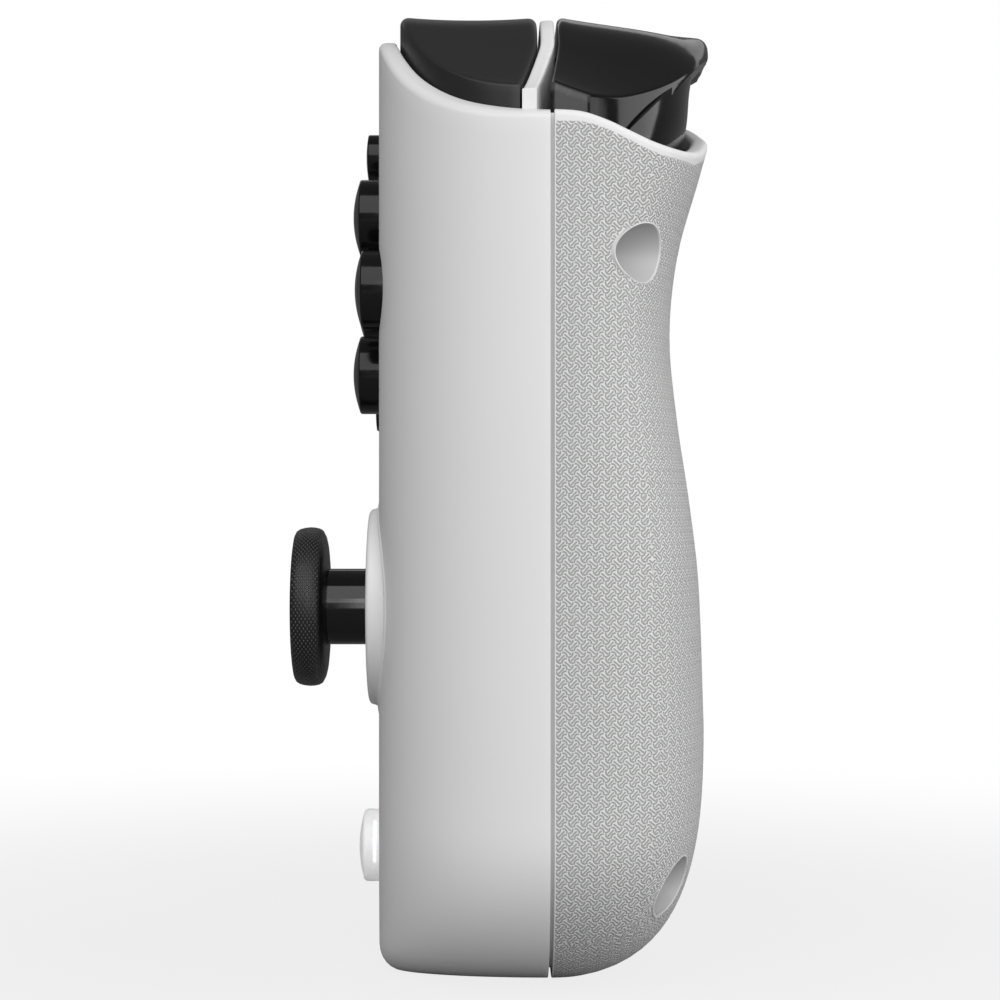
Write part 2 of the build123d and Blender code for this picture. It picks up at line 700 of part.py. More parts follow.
def trigger():
    xs, ys = (-2, grip_width + 2), (seam_y - 4, trigger_tip_y + 4)
    top = height_region(trigger_height, xs, ys, -far)
    under = height_region(trigger_under, xs, ys, -far)
    roof = height_region(lambda x, y: trigger_height(x, y) - control_wall, xs, ys, -far)
    inside = height_region(lambda x, y: trigger_height(x, y) - control_wall / 2, xs, ys, -far)
    cap = (trigger_plan(30, 70) & top) - under
    back = Pos(0, -trigger_skirt_shift, 0)
    skirt = (back * fitting) & plan_region(control_offset, 1, trigger_skirt_z, 70, trigger_sweep) & top
    hollow = back * grip_body(wall + control_gap + control_wall)
    hollow = hollow & plan_region(control_offset + control_wall, 1, 30, 70, trigger_sweep) & roof
    shape = cap + skirt - hollow
    # room for the ears and the spring round the pin
    y, z = trigger_pin_y, trigger_pin_z
    rooms = [(*ear, ear_radius) for ear in trigger_ears] + [(*trigger_spring_span, trigger_spring_radius)]
    for x0, x1, radius in rooms:
        room = radius + control_gap
        shape = shape - rod_x(y, z, room, x0 - control_gap, x1 + control_gap)
        leg = block(x0 - control_gap, x1 + control_gap, -far, room, -far, 0)
        shape = shape - Pos(0, y, z) * leg - Pos(0, y, z) * Rot(trigger_angle, 0, 0) * leg
    # the front wall is cut back below the pin, so that it swings clear of the divider
    clear = y - (divider_y + control_offset)
    lean = math.tan(math.radians(trigger_angle))
    edge = -clear - 0.2
    wedge = Polyline((-clear - 9, 0.7), (edge, 0.7), (edge + 12.7 * lean, -12), (-clear - 9, -12), close=True)
    shape = shape - Pos(0, y, z) * extrude(Plane.YZ * make_face(wedge), amount=far)
    for x0, x1 in trigger_lugs:
        lug = block(x0, x1, y - ear_radius + 0.6, y + ear_radius, z, far) & inside
        shape = shape + (lug + rod_x(y, z, ear_radius - 0.1, x0, x1))
    x, y, z = magnet_at
    boss = rod_z(x, y, magnet_radius + magnet_boss_wall, z, far) & inside
    shape = shape + boss - rod_z(x, y, magnet_radius, -far, z + magnet_thickness)
    return shape - rod_x(trigger_pin_y, trigger_pin_z, trigger_pin_radius + pin_clearance, 9, 39)


def trigger_magnet():
    x, y, z = magnet_at
    return rod_z(x, y, magnet_radius, z, z + magnet_thickness)


def trigger_pin():
    return rod_x(trigger_pin_y, trigger_pin_z, trigger_pin_radius, trigger_ears[0][0], trigger_ears[1][1])


def trigger_spring():
    x0, x1 = trigger_spring_span
    coil = rod_x(trigger_pin_y, trigger_pin_z, trigger_spring_radius, x0, x1)
    return coil - rod_x(trigger_pin_y, trigger_pin_z, trigger_pin_radius + 0.1, x0 - 1, x1 + 1)


# Buttons

def dome_button(x, z, radius, front, back, dome, edge, flange, flange_front, stem_radius, stem_back):
    """A round cap with a domed front, a flange behind the wall and a stem."""
    height = dome
    cap_radius = radius - edge
    outline = [
        Line((0, stem_back), (0, front)),
        Spline((0, front), (cap_radius * 0.55, front + height * 0.25), (cap_radius, front + height * 0.86),
               tangents=[(1, 0), (1, height / cap_radius * 2.2)]),
        Line((cap_radius, front + height * 0.86), (radius, front + height * 0.86 + edge)),
        Line((radius, front + height * 0.86 + edge), (radius, flange_front)),
        Line((radius, flange_front), (flange, flange_front)),
        Line((flange, flange_front), (flange, back)),
        Line((flange, back), (stem_radius, back)),
        Line((stem_radius, back), (stem_radius, stem_back)),
        Line((stem_radius, stem_back), (0, stem_back)),
    ]
    return turned_y(x, z, outline)


def face_button(name):
    x, z = button_places[name]
    drop = outer_button_drop if name == "outer" else 0.0
    front = front_y - button_proud + drop
    flange_front = inner_front + 0.05
    return dome_button(x, z, button_radius, front, flange_front + flange_thickness, button_dome, 0.25,
                       button_radius + button_flange, flange_front, button_stem_radius, pad_front)


def button_pad():
    sheets = []
    domes = []
    for x, z in button_places.values():
        sheets.append(rod_y(x, z, 5.0, board_front - pad_thickness, board_front))
        middle = board_front - pad_thickness - pad_dome_height / 2
        domes.append(Pos(x, middle, z) * Rot(90, 0, 0) * Cone(4.0, 2.4, pad_dome_height))
    sheets.append(rod_y(cluster_x, cluster_z, 6.5, board_front - pad_thickness, board_front))
    return joined(sheets + domes)


def small_button(name):
    x, z, radius, proud, dome = small_buttons[name]
    front = front_y - proud
    flange_front = inner_front + 0.05
    stem_back = switch_top - small_travel - 0.05
    edge = home_edge if name == "home" else small_edge
    return dome_button(x, z, radius, front, flange_front + 0.8, dome, edge, radius + 0.6, flange_front, 1.0,
                       stem_back)


def tact_switches():
    parts = []
    for x, z, radius, proud, dome in small_buttons.values():
        top = board_front - switch_body
        body = block(x - switch_half, x + switch_half, top, board_front, z - switch_half, z + switch_half)
        parts.append(body + rod_y(x, z, 0.9, switch_top, top))
    return parts


def home_light_guide():
    ring = rod_y(home_x, home_z, home_radius - 0.4, board_front - 1.4, board_front)
    return ring - rod_y(home_x, home_z, 2.6, -far, far)


# Thumb stick

def stick_bezel():
    top = front_y - bezel_proud
    sleeve_radius = bezel_hole - 0.1
    outline = [
        Line((bezel_opening, top + 0.25), (bezel_opening, -4.5)),
        Line((bezel_opening, -4.5), (sleeve_radius, -4.5)),
        Line((sleeve_radius, -4.5), (sleeve_radius, front_y + 0.3)),
        Line((sleeve_radius, front_y + 0.3), (bezel_foot_radius, front_y + 1.6)),
        Line((bezel_foot_radius, front_y + 1.6), (bezel_foot_radius, front_y - 0.1)),
        Spline((bezel_foot_radius, front_y - 0.1), (bezel_radius + 0.35, front_y - 0.35),
               (bezel_radius, front_y - 0.85), tangents=[(-1, -0.1), (-0.1, -1)]),
        Spline((bezel_radius, front_y - 0.85), (bezel_radius - 0.15, top + 0.15), (bezel_radius - 0.6, top),
               tangents=[(-0.1, -1), (-1, 0)]),
        Line((bezel_radius - 0.6, top), (bezel_opening + 0.25, top)),
        Line((bezel_opening + 0.25, top), (bezel_opening, top + 0.25)),
    ]
    ring = turned_y(stick_x, stick_z, outline)
    sleeve = rod_y(stick_x, stick_z, sleeve_radius, -far, far)
    return (ring - outer) + (ring & sleeve & block(-1, far, front_y - 0.2, far, -far, far))


def stick_cap():
    f = stick_cap_front
    b = f + stick_cap_thickness
    r = stick_cap_radius
    outline = [
        Line((0, f + 1.2), (0, f + 2.4)),
        Line((0, f + 2.4), (2.6, f + 2.4)),
        Line((2.6, f + 2.4), (2.6, b)),
        Line((2.6, b), (r - 3.5, b)),
        Spline((r - 3.5, b), (r - 1.0, b - 0.4), (r - 0.45, b - 0.95), (r, b - 2.5), (r - 0.22, f + 0.6),
               (r - 0.77, f + 0.1), (r - 1.6, f), tangents=[(1, 0), (-1, 0)]),
        Spline((r - 1.6, f), (r - 3.0, f + 0.5), (0, f + 1.2), tangents=[(-1, 0.2), (-1, 0)]),
    ]
    return turned_y(stick_x, stick_z, outline)


def stick_shaft():
    cap_back = stick_cap_front + stick_cap_thickness
    angle = math.radians(skirt_angle)
    ball = Pos(stick_x, pivot_y, stick_z) * (Sphere(skirt_radius) - Sphere(skirt_radius - skirt_thickness))
    skirt = ball & block(-far, far, -far, pivot_y - skirt_radius * math.cos(angle), -far, far)
    shaft = rod_y(stick_x, stick_z, stick_shaft_radius, cap_back, pivot_y - skirt_radius + 0.5)
    spigot = rod_y(stick_x, stick_z, 2.6, stick_cap_front + 2.4, cap_back)
    stem = rod_y(stick_x, stick_z, stick_stem_radius, pivot_y - skirt_radius + 0.3, pivot_y + stick_stem_reach)
    # the stem's end is round about the pivot, so that a tilted stick clicks as an upright one does
    tip = Pos(stick_x, pivot_y, stick_z) * Sphere(stick_stem_reach)
    stem = stem & (block(-far, far, -far, pivot_y, -far, far) + tip)
    return skirt + shaft + spigot + stem


def stick_cradle():
    half = 2.8
    cube = block(stick_x - half, stick_x + half, pivot_y - 1.8, pivot_y + 1.8, stick_z - 2.6, stick_z + 2.6)
    cube = cube - rod_y(stick_x, stick_z, stick_stem_radius + pin_clearance, -far, far)
    for side in (-1, 1):
        z0, z1 = sorted((stick_z + side * 2.55, stick_z + side * 4.6))
        cube = cube + rod_z(stick_x, pivot_y, trunnion_radius, z0, z1)
    return cube


def stick_yoke():
    ring = block(stick_x - 5.0, stick_x + 5.0, pivot_y - 1.5, pivot_y + 1.5, stick_z - 4.9, stick_z + 4.9)
    ring = ring - block(stick_x - 3.6, stick_x + 3.6, -far, far, stick_z - 2.9, stick_z + 2.9)
    ring = ring - rod_z(stick_x, pivot_y, trunnion_radius + pin_clearance, -far, far)
    for side in (-1, 1):
        x0, x1 = sorted((stick_x + side * 4.95, stick_x + side * (housing_half - 0.05)))
        ring = ring + rod_x(pivot_y, stick_z, trunnion_radius, x0, x1)
    return ring


def stick_housing():
    h = housing_half
    w = housing_wall
    box = block(stick_x - h, stick_x + h, housing_front, housing_back, stick_z - h, stick_z + h)
    box = fillet(box.edges().filter_by(Axis.Y), 0.8)
    inside = h - w
    box = box - block(stick_x - inside, stick_x + inside, housing_front + 0.7, far, stick_z - inside,
                      stick_z + inside)
    mouth = h - w - 0.1
    box = box - block(stick_x - mouth, stick_x + mouth, -far, housing_front + 2, stick_z - mouth,
                      stick_z + mouth)
    return box - rod_x(pivot_y, stick_z, trunnion_radius + pin_clearance, -far, far)


def stick_sensors():
    x0 = stick_x + housing_half
    z0 = stick_z - housing_half
    side = block(x0, x0 + 2.6, pivot_y - 0.6, pivot_y + 5.2, stick_z - 4, stick_z + 4)
    below = block(stick_x - 4, stick_x + 4, pivot_y - 0.6, pivot_y + 5.2, z0 - 2.6, z0)
    return [side, below]


def stick_click_switch():
    base = block(stick_x - 2.6, stick_x + 2.6, housing_back - 1.2, housing_back, stick_z - 2.6, stick_z + 2.6)
    button_y = pivot_y + stick_stem_reach + stick_click + 0.05
    return base + rod_y(stick_x, stick_z, 1.3, button_y, housing_back - 1.2)


def stick_bracket():
    plate = block(stick_x - 17.0, stick_x + 17.0, bracket_y, bracket_y + 1.0, stick_z - 7.5, stick_z + 7.5)
    plate = fillet(plate.edges().filter_by(Axis.Y), 2.0)
    for x, z in bracket_posts:
        plate = plate - rod_y(x, z, 1.0, -far, far)
    return plate


def bracket_screws():
    return [screw_y(x, z, bracket_y + 1.0, 1.6, 1.0, 0.8, 4.4) for x, z in bracket_posts]


# Boards, battery and motor

def main_board():
    board = block(board_left, board_right, board_front, board_back, board_bottom, board_top)
    board = board & grip_body(wall + 0.6)
    half = skirt_radius + 0.4
    board = board - block(stick_x - half, stick_x + half, -far, far, stick_z - half, stick_z + half)
    for x, z in case_screws:
        board = board - rod_y(x, z, boss_radius + 0.4, -far, far)
    for x, z in bracket_posts:
        board = board - rod_y(x, z, post_radius + 0.3, -far, far)
    for x, z in board_posts + frame_posts:
        board = board - rod_y(x, z, 1.0, -far, far)
    # the outer corner stays clear of the bumper
    return board - block(30.0, far, -far, far, 40.0, far)


def board_screws():
    return [screw_y(x, z, board_back, 1.6, 1.0, 0.8, 2.4) for x, z in board_posts]


def frame_screws():
    head_y = board_back + frame_tab_thickness
    return [screw_y(x, z, head_y, 1.6, 1.0, 0.8, 2.4 + frame_tab_thickness) for x, z in frame_posts]


def battery_tray():
    x, y, z = battery_at
    w, d, h = battery_size
    side, end = w / 2 + tray_wall, h / 2 + tray_wall
    tray = block(x - side, x + side, y - d / 2 - 1.0, y + d / 2 - 2, z - end, z + end) & grip_body(wall + 0.3)
    for screw_x, screw_z in case_screws:
        tray = tray - rod_y(screw_x, screw_z, well_radius + well_wall + 0.2, -far, far)
    return tray - block(x - w / 2 - 0.2, x + w / 2 + 0.2, y - d / 2, far, z - h / 2 - 0.2, z + h / 2 + 0.2)


def battery():
    x, y, z = battery_at
    w, d, h = battery_size
    cell = block(x - w / 2, x + w / 2, y - d / 2, y + d / 2, z - h / 2, z + h / 2)
    return fillet(cell.edges().filter_by(Axis.Z), 2.0)


def motor_can():
    x, y, z = motor_at
    can = rod_x(y, z, motor_radius, x - motor_length / 2, x + motor_length / 2)
    return can - rod_x(y, z, 0.85, x - 1, far)


def motor_weight():
    x, y, z = motor_at
    end = x + motor_length / 2
    disc = rod_x(y, z, motor_radius - 0.4, end + 0.6, end + 4.0)
    disc = disc - block(end, end + 6, y - 9, y + 9, z + 1.3, z + 9)
    return disc + rod_x(y, z, 0.8, x, end + 4.0)


def motor_boot():
    x, y, z = motor_at
    half = motor_length / 2 - 1.5
    tube = rod_x(y, z, motor_radius + boot_thickness, x - half, x + half)
    foot = block(x - half, x + half, y, y + 12, z - 4.0, z + 4.0)
    return ((tube + foot) & grip_body(wall + 0.4)) - rod_x(y, z, motor_radius, x - half - 1, x + half + 1)


def bumper_switch():
    x, y = 40.0, 5.0
    base = block(x - 3, x + 3, y - 2, y + 2, frame_top, frame_top + 3.0)
    return base


def trigger_sensor():
    x, y = 24.0, 18.6
    return block(x - 2, x + 2, y - 1.2, y + 1.2, frame_top, frame_top + 1.2)


def case_screw_set():
    return [screw_y(x, z, well_floor, screw_head_radius, screw_head_thickness, screw_radius, screw_length)
            for x, z in case_screws]


nodes = {
    "front_shell": front_shell,
    "back_shell": back_shell,
    "side_plate": side_plate,
    "slide_rail": slide_rail,
    "rail_screws": rail_screws,
    "rail_latch": rail_latch,
    "release_button": release_button,
    "latch_spring": latch_spring,
    "contact_block": contact_block,
    "contact_pins": contact_pins,
    "shoulder_frame": shoulder_frame,
    "shoulder_divider": shoulder_divider,
    "bumper": bumper,
    "bumper_pin": bumper_pin,
    "bumper_switch": bumper_switch,
    "trigger": trigger,
    "trigger_pin": trigger_pin,
    "trigger_spring": trigger_spring,
    "trigger_magnet": trigger_magnet,
    "trigger_sensor": trigger_sensor,
    "button_top": lambda: face_button("top"),
    "button_outer": lambda: face_button("outer"),
    "button_bottom": lambda: face_button("bottom"),
    "button_inner": lambda: face_button("inner"),
    "button_pad": button_pad,
    "menu_button": lambda: small_button("menu"),
    "function_button": lambda: small_button("function"),
    "home_button": lambda: small_button("home"),
    "tact_switches": tact_switches,
    "home_light_guide": home_light_guide,
    "stick_bezel": stick_bezel,
    "stick_cap": stick_cap,
    "stick_shaft": stick_shaft,
    "stick_cradle": stick_cradle,
    "stick_yoke": stick_yoke,
    "stick_housing": stick_housing,
    "stick_sensors": stick_sensors,
    "stick_click_switch": stick_click_switch,
    "stick_bracket": stick_bracket,
    "bracket_screws": bracket_screws,
    "main_board": main_board,
    "board_screws": board_screws,
    "frame_screws": frame_screws,
    "battery_tray": battery_tray,
    "battery": battery,
    "motor_can": motor_can,
    "motor_weight": motor_weight,
    "motor_boot": motor_boot,
    "case_screws": case_screw_set,
}

os.makedirs("parts", exist_ok=True)
for name, make in nodes.items():
    shape = make()
    if isinstance(shape, list):
        shape = Compound(children=shape)
    export_step(shape, f"parts/{name}.step")
    print(name, round(shape.volume, 1))
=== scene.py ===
import bpy
import bmesh
import json
import math
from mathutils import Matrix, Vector


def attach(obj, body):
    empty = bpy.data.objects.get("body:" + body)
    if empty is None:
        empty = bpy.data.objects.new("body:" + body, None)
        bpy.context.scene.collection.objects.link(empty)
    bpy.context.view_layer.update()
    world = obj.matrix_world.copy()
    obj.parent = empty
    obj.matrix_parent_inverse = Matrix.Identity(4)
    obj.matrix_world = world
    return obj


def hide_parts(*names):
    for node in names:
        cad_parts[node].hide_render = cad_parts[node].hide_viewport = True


# a handheld controller grip, seen from its outer side
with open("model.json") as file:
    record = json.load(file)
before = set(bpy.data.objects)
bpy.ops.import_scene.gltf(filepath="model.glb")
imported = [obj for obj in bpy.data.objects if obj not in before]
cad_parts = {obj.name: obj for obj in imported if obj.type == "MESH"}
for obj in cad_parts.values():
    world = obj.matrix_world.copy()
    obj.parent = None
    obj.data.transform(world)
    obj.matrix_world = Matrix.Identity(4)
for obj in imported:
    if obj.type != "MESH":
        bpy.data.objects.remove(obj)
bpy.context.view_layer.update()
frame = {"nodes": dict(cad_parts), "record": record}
nodes = frame["nodes"]
scene = bpy.context.scene
mm = 0.001  # the shapes below are written in millimetres
print("frame loaded:", len(nodes), "nodes")


# shader maths: a socket that can be used in an expression
class Wire:
    def __init__(self, finish, socket):
        self.finish = finish
        self.socket = socket

    def maths(self, operation, *values):
        return self.finish.node("ShaderNodeMath", {"operation": operation}, dict(enumerate(values)))

    def __add__(self, other):
        return self.maths("ADD", self, other)

    def __sub__(self, other):
        return self.maths("SUBTRACT", self, other)

    def __rsub__(self, other):
        return self.maths("SUBTRACT", other, self)

    def __mul__(self, other):
        return self.maths("MULTIPLY", self, other)

    def __truediv__(self, other):
        return self.maths("DIVIDE", self, other)

    def __pow__(self, other):
        return self.maths("POWER", self, other)

    def __gt__(self, other):
        return self.maths("GREATER_THAN", self, other)

    def __abs__(self):
        return self.maths("ABSOLUTE", self)

    __radd__ = __add__
    __rmul__ = __mul__

    def least(self, other):
        return self.maths("MINIMUM", self, other)

    def most(self, other):
        return self.maths("MAXIMUM", self, other)

    def part(self):
        return self.maths("FRACT", self)


class Finish:
    # the nodes of one material or world: constants go on the shader's sockets, the rest is wired
    def __init__(self, name, **constants):
        self.material = bpy.data.materials.new(name)
        self.material.use_nodes = True
        self.tree = self.material.node_tree
        self.shader = next(n for n in self.tree.nodes if n.type == "BSDF_PRINCIPLED")
        for key, value in constants.items():
            self.shader.inputs[key.replace("_", " ")].default_value = value

    def node(self, kind, settings=None, values=None, out=0):
        # any node: its type, its settings, the values or wires of its sockets
        made = self.tree.nodes.new(kind)
        for key, value in (settings or {}).items():
            setattr(made, key, value)
        for key, value in (values or {}).items():
            if isinstance(value, Wire):
                self.tree.links.new(value.socket, made.inputs[key])
            else:
                made.inputs[key].default_value = value
        return None if out is None else Wire(self, made.outputs[out])

    def place(self):
        # object coordinates in millimetres
        spot = self.node("ShaderNodeTexCoord", out="Object")
        return self.node("ShaderNodeVectorMath", {"operation": "SCALE"}, {0: spot, "Scale": 1 / mm})

    def axes(self, vector):
        split = self.node("ShaderNodeSeparateXYZ", values={0: vector}).socket.node
        return [Wire(self, split.outputs[i]) for i in range(3)]

    def noise(self, where, scale, detail=2.0, rough=0.5):
        return self.node("ShaderNodeTexNoise", values={"Vector": where, "Scale": scale, "Detail": detail,
                                                       "Roughness": rough})

    def smooth(self, value, low, high, start=0.0, end=1.0):
        return self.node("ShaderNodeMapRange", {"interpolation_type": "SMOOTHSTEP"},
                         {0: value, 1: low, 2: high, 3: start, 4: end})

    def blend(self, factor, first, second):
        kind = {"data_type": "RGBA"}
        return self.node("ShaderNodeMix", kind, {0: factor, 6: first, 7: second}, out=2)

    def seenWhite(self):
        # 1 where the camera looks at the background, straight or through a clear part
        path = self.node("ShaderNodeLightPath").socket.node
        camera, clear = [Wire(self, path.outputs[name]) for name in ("Is Camera Ray", "Is Transmission Ray")]
        return camera.most(clear)

    def feed(self, **wires):
        for key, wire in wires.items():
            self.tree.links.new(wire.socket, self.shader.inputs[key.replace("_", " ")])

    def relief(self, height, distance):
        self.feed(Normal=self.node("ShaderNodeBump", values={"Height": height, "Distance": distance * mm}))


def grey(value):
    return (value, value, value, 1.0)


def darker(colour, share):
    return tuple(c * share for c in colour[:3]) + (1.0,)


# finishes
noiseSpan = (0.3, 0.7)  # where nearly all of a noise's values lie


def plainMoulding(name, colour, rough, grain, grainDepth, shift=0.06, **constants):
    # moulded plastic: fine spark grain, slow changes of tone and of gloss
    finish = Finish(name, **constants)
    where = finish.place()
    fine = finish.noise(where, 1 / grain, 3.0, 0.6)
    slow = finish.noise(where, 0.05, 2.0)
    finish.feed(Base_Color=finish.blend(slow, grey(colour * (1 - shift)), grey(colour * (1 + shift))),
                Roughness=finish.smooth(fine * 0.5 + slow * 0.5, *noiseSpan, rough - 0.04, rough + 0.04))
    finish.relief(fine, grainDepth)
    return finish.material


whiteShell = {"colour": 0.80, "rough": 0.42, "grain": 0.22, "grainDepth": 0.004, "shift": 0.012,
              "Specular_IOR_Level": 0.45}
blackSatin = {"colour": 0.016, "rough": 0.40, "grain": 0.20, "grainDepth": 0.006, "Specular_IOR_Level": 0.4}
blackGloss = {"colour": 0.006, "rough": 0.13, "grain": 1.2, "grainDepth": 0.002, "Specular_IOR_Level": 0.32}
shaftGloss = {"colour": 0.005, "rough": 0.07, "grain": 1.6, "grainDepth": 0.001, "Specular_IOR_Level": 0.46}
shellFinish = plainMoulding("moulded white", **whiteShell)
satinFinish = plainMoulding("satin black", **blackSatin)
glossFinish = plainMoulding("gloss black", **blackGloss)
shaftFinish = plainMoulding("polished black", **shaftGloss)

gripTexture = {"tile": (1.27, 1.29), "ring": 0.31, "groove": 0.038, "soft": 0.05, "depth": 0.10,
               "colour": 0.82, "paintedGrooveShade": 0.42, "rough": 0.5, "rimBorder": (1.25, 0.3),
               "wellBorder": (0.02, 0.2), "rimTop": 40.95, "rimDrop": 2.95, "rimDropY": (14.0, 24.5),
               "innerX": 42.0, "innerSlope": 0.235, "seamY": 12.15,
               "strokes": (((0.225, 0.19), ((0.40, -0.40, -1, 1), (-0.38, 0.36, 1, -1))),
                           ((0.20, -0.205), ((-0.40, -0.38, 1, 1), (0.35, 0.355, -1, -1))))}
wells = ((49.25, 26.55), (44.0, -40.3), (9.0, 20.0), (9.0, -38.0))
wellRadius = 3.1
stick = {"x": 27.4, "z": -11.3, "hole": 10.2, "mouth": 0.3}


def strokeAndArcs(u, v, motif):
    # distance, in tiles, to a short slanted stroke and the quarter arcs on both sides of it
    (du, dv), arcs = motif
    half = math.hypot(du, dv)
    along = (u * du + v * dv) / half
    across = (u * dv - v * du) / half
    gap = ((abs(along) - half).most(0.0) ** 2.0 + across ** 2.0) ** 0.5
    for cu, cv, su, sv in arcs:
        pu, pv = u - cu, v - cv
        ring = abs((pu ** 2.0 + pv ** 2.0) ** 0.5 - gripTexture["ring"])
        gap = gap.least(ring.most(pu * -su).most(pv * -sv))
    return gap


def wovenGrip():
    # engraved strokes and arcs, darkened with painted shade, in a border that follows the rim, the seam and
    # the wells
    t = gripTexture
    finish = Finish("woven grip texture", Specular_IOR_Level=0.4)
    where = finish.place()
    x, y, z = finish.axes(where)
    normal = finish.node("ShaderNodeNewGeometry", out="Normal")
    nx, ny, nz = [abs(part) for part in finish.axes(normal)]
    fromBack = (ny > nx) * (ny > nz)
    fromFoot = (nz > nx) * (nz > ny)
    u = y + (x - y) * fromBack.most(fromFoot)
    v = z + (y - z) * fromFoot
    across, up = u / t["tile"][0], v / t["tile"][1]
    first, second = t["strokes"]
    gap = strokeAndArcs(across.part() - 0.5, 0.5 - up.part(), first)
    gap = gap.least(strokeAndArcs((across + 0.5).part() - 0.5, 0.5 - (up + 0.5).part(), second))
    groove = finish.smooth(gap, t["groove"], t["groove"] + t["soft"], 1.0, 0.0)
    rimDrop = finish.smooth(y, *t["rimDropY"], 0.0, t["rimDrop"])
    rim = t["rimTop"] - rimDrop + (t["innerX"] - x).most(0.0) * t["innerSlope"]
    border, fade = t["rimBorder"]
    inside = finish.smooth(rim - z, border, border + fade)
    border, fade = t["wellBorder"]
    for wx, wz in wells:
        away = ((x - wx) ** 2.0 + (z - wz) ** 2.0) ** 0.5
        inside = inside * finish.smooth(away, wellRadius + border, wellRadius + border + fade)
    groove = groove * inside * (y > t["seamY"])
    fine = finish.noise(where, 5.0, 3.0, 0.6)
    # the grooves get a darker base colour: painted shade in the engraved recesses; the bump gives their
    # relief
    finish.feed(Base_Color=finish.blend(groove, grey(t["colour"]), grey(t["paintedGrooveShade"])),
                Roughness=finish.smooth(fine, *noiseSpan, t["rough"] - 0.04, t["rough"] + 0.06))
    finish.relief(fine * 0.06 - groove, t["depth"])
    return finish.material


gripFinish = wovenGrip()

knurl = {"pitch": 0.71, "along": 0.44, "depth": 0.09, "colour": 0.011, "rough": 0.38, "radius": 8.97,
         "band": (-16.75, -13.62), "face": (7.8, 8.1), "ridge": (0.15, 0.7), "share": 0.75,
         "tones": (0.5, 8.0)}


def knurledRubber():
    # crossed ridges round the rim of the stick's cap, their tops painted lighter as a painted highlight and
    # the grooves between them painted darker as painted shade
    k = knurl
    finish = Finish("knurled black with painted ridge highlights", Specular_IOR_Level=0.5)
    where = finish.place()
    x, y, z = finish.axes(where)
    dx, dz = x - stick["x"], z - stick["z"]
    angle = finish.node("ShaderNodeMath", {"operation": "ARCTAN2"}, {0: dz, 1: dx})
    turns = round(2 * math.pi * k["radius"] / k["pitch"])
    around = angle * (turns / (2 * math.pi))
    first = abs((around + y / k["along"]).part() - 0.5)
    second = abs((around - y / k["along"]).part() - 0.5)
    ridge = finish.smooth((1 - first * 2) * (1 - second * 2), *k["ridge"])
    low, high = k["band"]
    band = finish.smooth(y, low, low + 0.3) * finish.smooth(y, high - 0.05, high, 1.0, 0.0)
    band = band * finish.smooth((dx ** 2.0 + dz ** 2.0) ** 0.5, *k["face"])
    fine = finish.noise(where, 6.0, 2.0)
    # tones: valleys darker (painted shade) and ridge tops many times lighter (painted highlight) on the same
    # black rubber
    low, high = [grey(k["colour"] * tone) for tone in k["tones"]]
    finish.feed(Base_Color=finish.blend(ridge * band * k["share"], low, high),
                Roughness=finish.smooth(fine, *noiseSpan, k["rough"] - 0.05, k["rough"] + 0.08))
    finish.relief(ridge * band + fine * 0.06, k["depth"])
    return finish.material


knurlFinish = knurledRubber()

# the band in y and z and its glow are a painted highlight; the plain emission is an even painted glow over
# the whole button
frosted = {"colour": 0.90, "speckle": 3.2, "rough": 0.38, "highlightBand": (-7.72, 0.10), "highlightBandZ": (-39.9, -35.7),
           "glow": 0.7, "plain": 0.16, "tones": (0.93, 1.08), "soft": (0.12, 0.3)}


def frostedWhiteWithPaintedGlow():
    # cloudy plastic that glows faintly all over as painted light, with a painted highlight: a thin bright
    # glowing line where its edge would catch the light
    f = frosted
    finish = Finish("frosted white with painted glow", Transmission_Weight=0.2, Subsurface_Weight=0.2, Subsurface_Scale=0.002,
                    IOR=1.4, Emission_Strength=1.0)
    where = finish.place()
    _, y, z = finish.axes(where)
    speck = finish.noise(where, f["speckle"], 3.0, 0.7)
    middle, half = f["highlightBand"]
    low, high = f["highlightBandZ"]
    across, along = f["soft"]
    # painted highlight: a narrow band that glows brighter, standing in for light caught on the edge
    paintedHighlight = finish.smooth(abs(y - middle), half, half + across, 1.0, 0.0)
    paintedHighlight = paintedHighlight * finish.smooth(z, low - along, low) * finish.smooth(z, high, high + along, 1.0, 0.0)
    dull, bright = [grey(f["colour"] * tone) for tone in f["tones"]]
    # Emission Color: an even faint painted glow everywhere, brighter in the painted highlight band
    finish.feed(Base_Color=finish.blend(finish.smooth(speck, 0.35, 0.65), dull, bright),
                Roughness=finish.smooth(speck, *noiseSpan, f["rough"] - 0.1, f["rough"] + 0.1),
                Emission_Color=finish.blend(paintedHighlight, grey(f["plain"]), grey(f["glow"])))
    finish.relief(speck, 0.02)
    return finish.material


frostGlowFinish = frostedWhiteWithPaintedGlow()


def metalFinish(name, colour, rough, brushed):
    # fine lines, drawn out along the smallest of the three brushed scales
    finish = Finish(name, Metallic=1.0)
    where = finish.place()
    stretched = finish.node("ShaderNodeVectorMath", {"operation": "MULTIPLY"}, {0: where, 1: brushed})
    lines = finish.noise(stretched, 1.0, 3.0, 0.6)
    finish.feed(Base_Color=finish.blend(lines, darker(colour, 0.85), colour),
                Roughness=finish.smooth(lines, *noiseSpan, rough - 0.06, rough + 0.08))
    finish.relief(lines, 0.006)
    return finish.material


steelFinish = metalFinish("brushed steel", (0.62, 0.62, 0.63, 1.0), 0.32, (6.0, 6.0, 0.8))
goldFinish = metalFinish("contact gold", (0.83, 0.62, 0.28, 1.0), 0.22, (7.0, 1.5, 1.5))


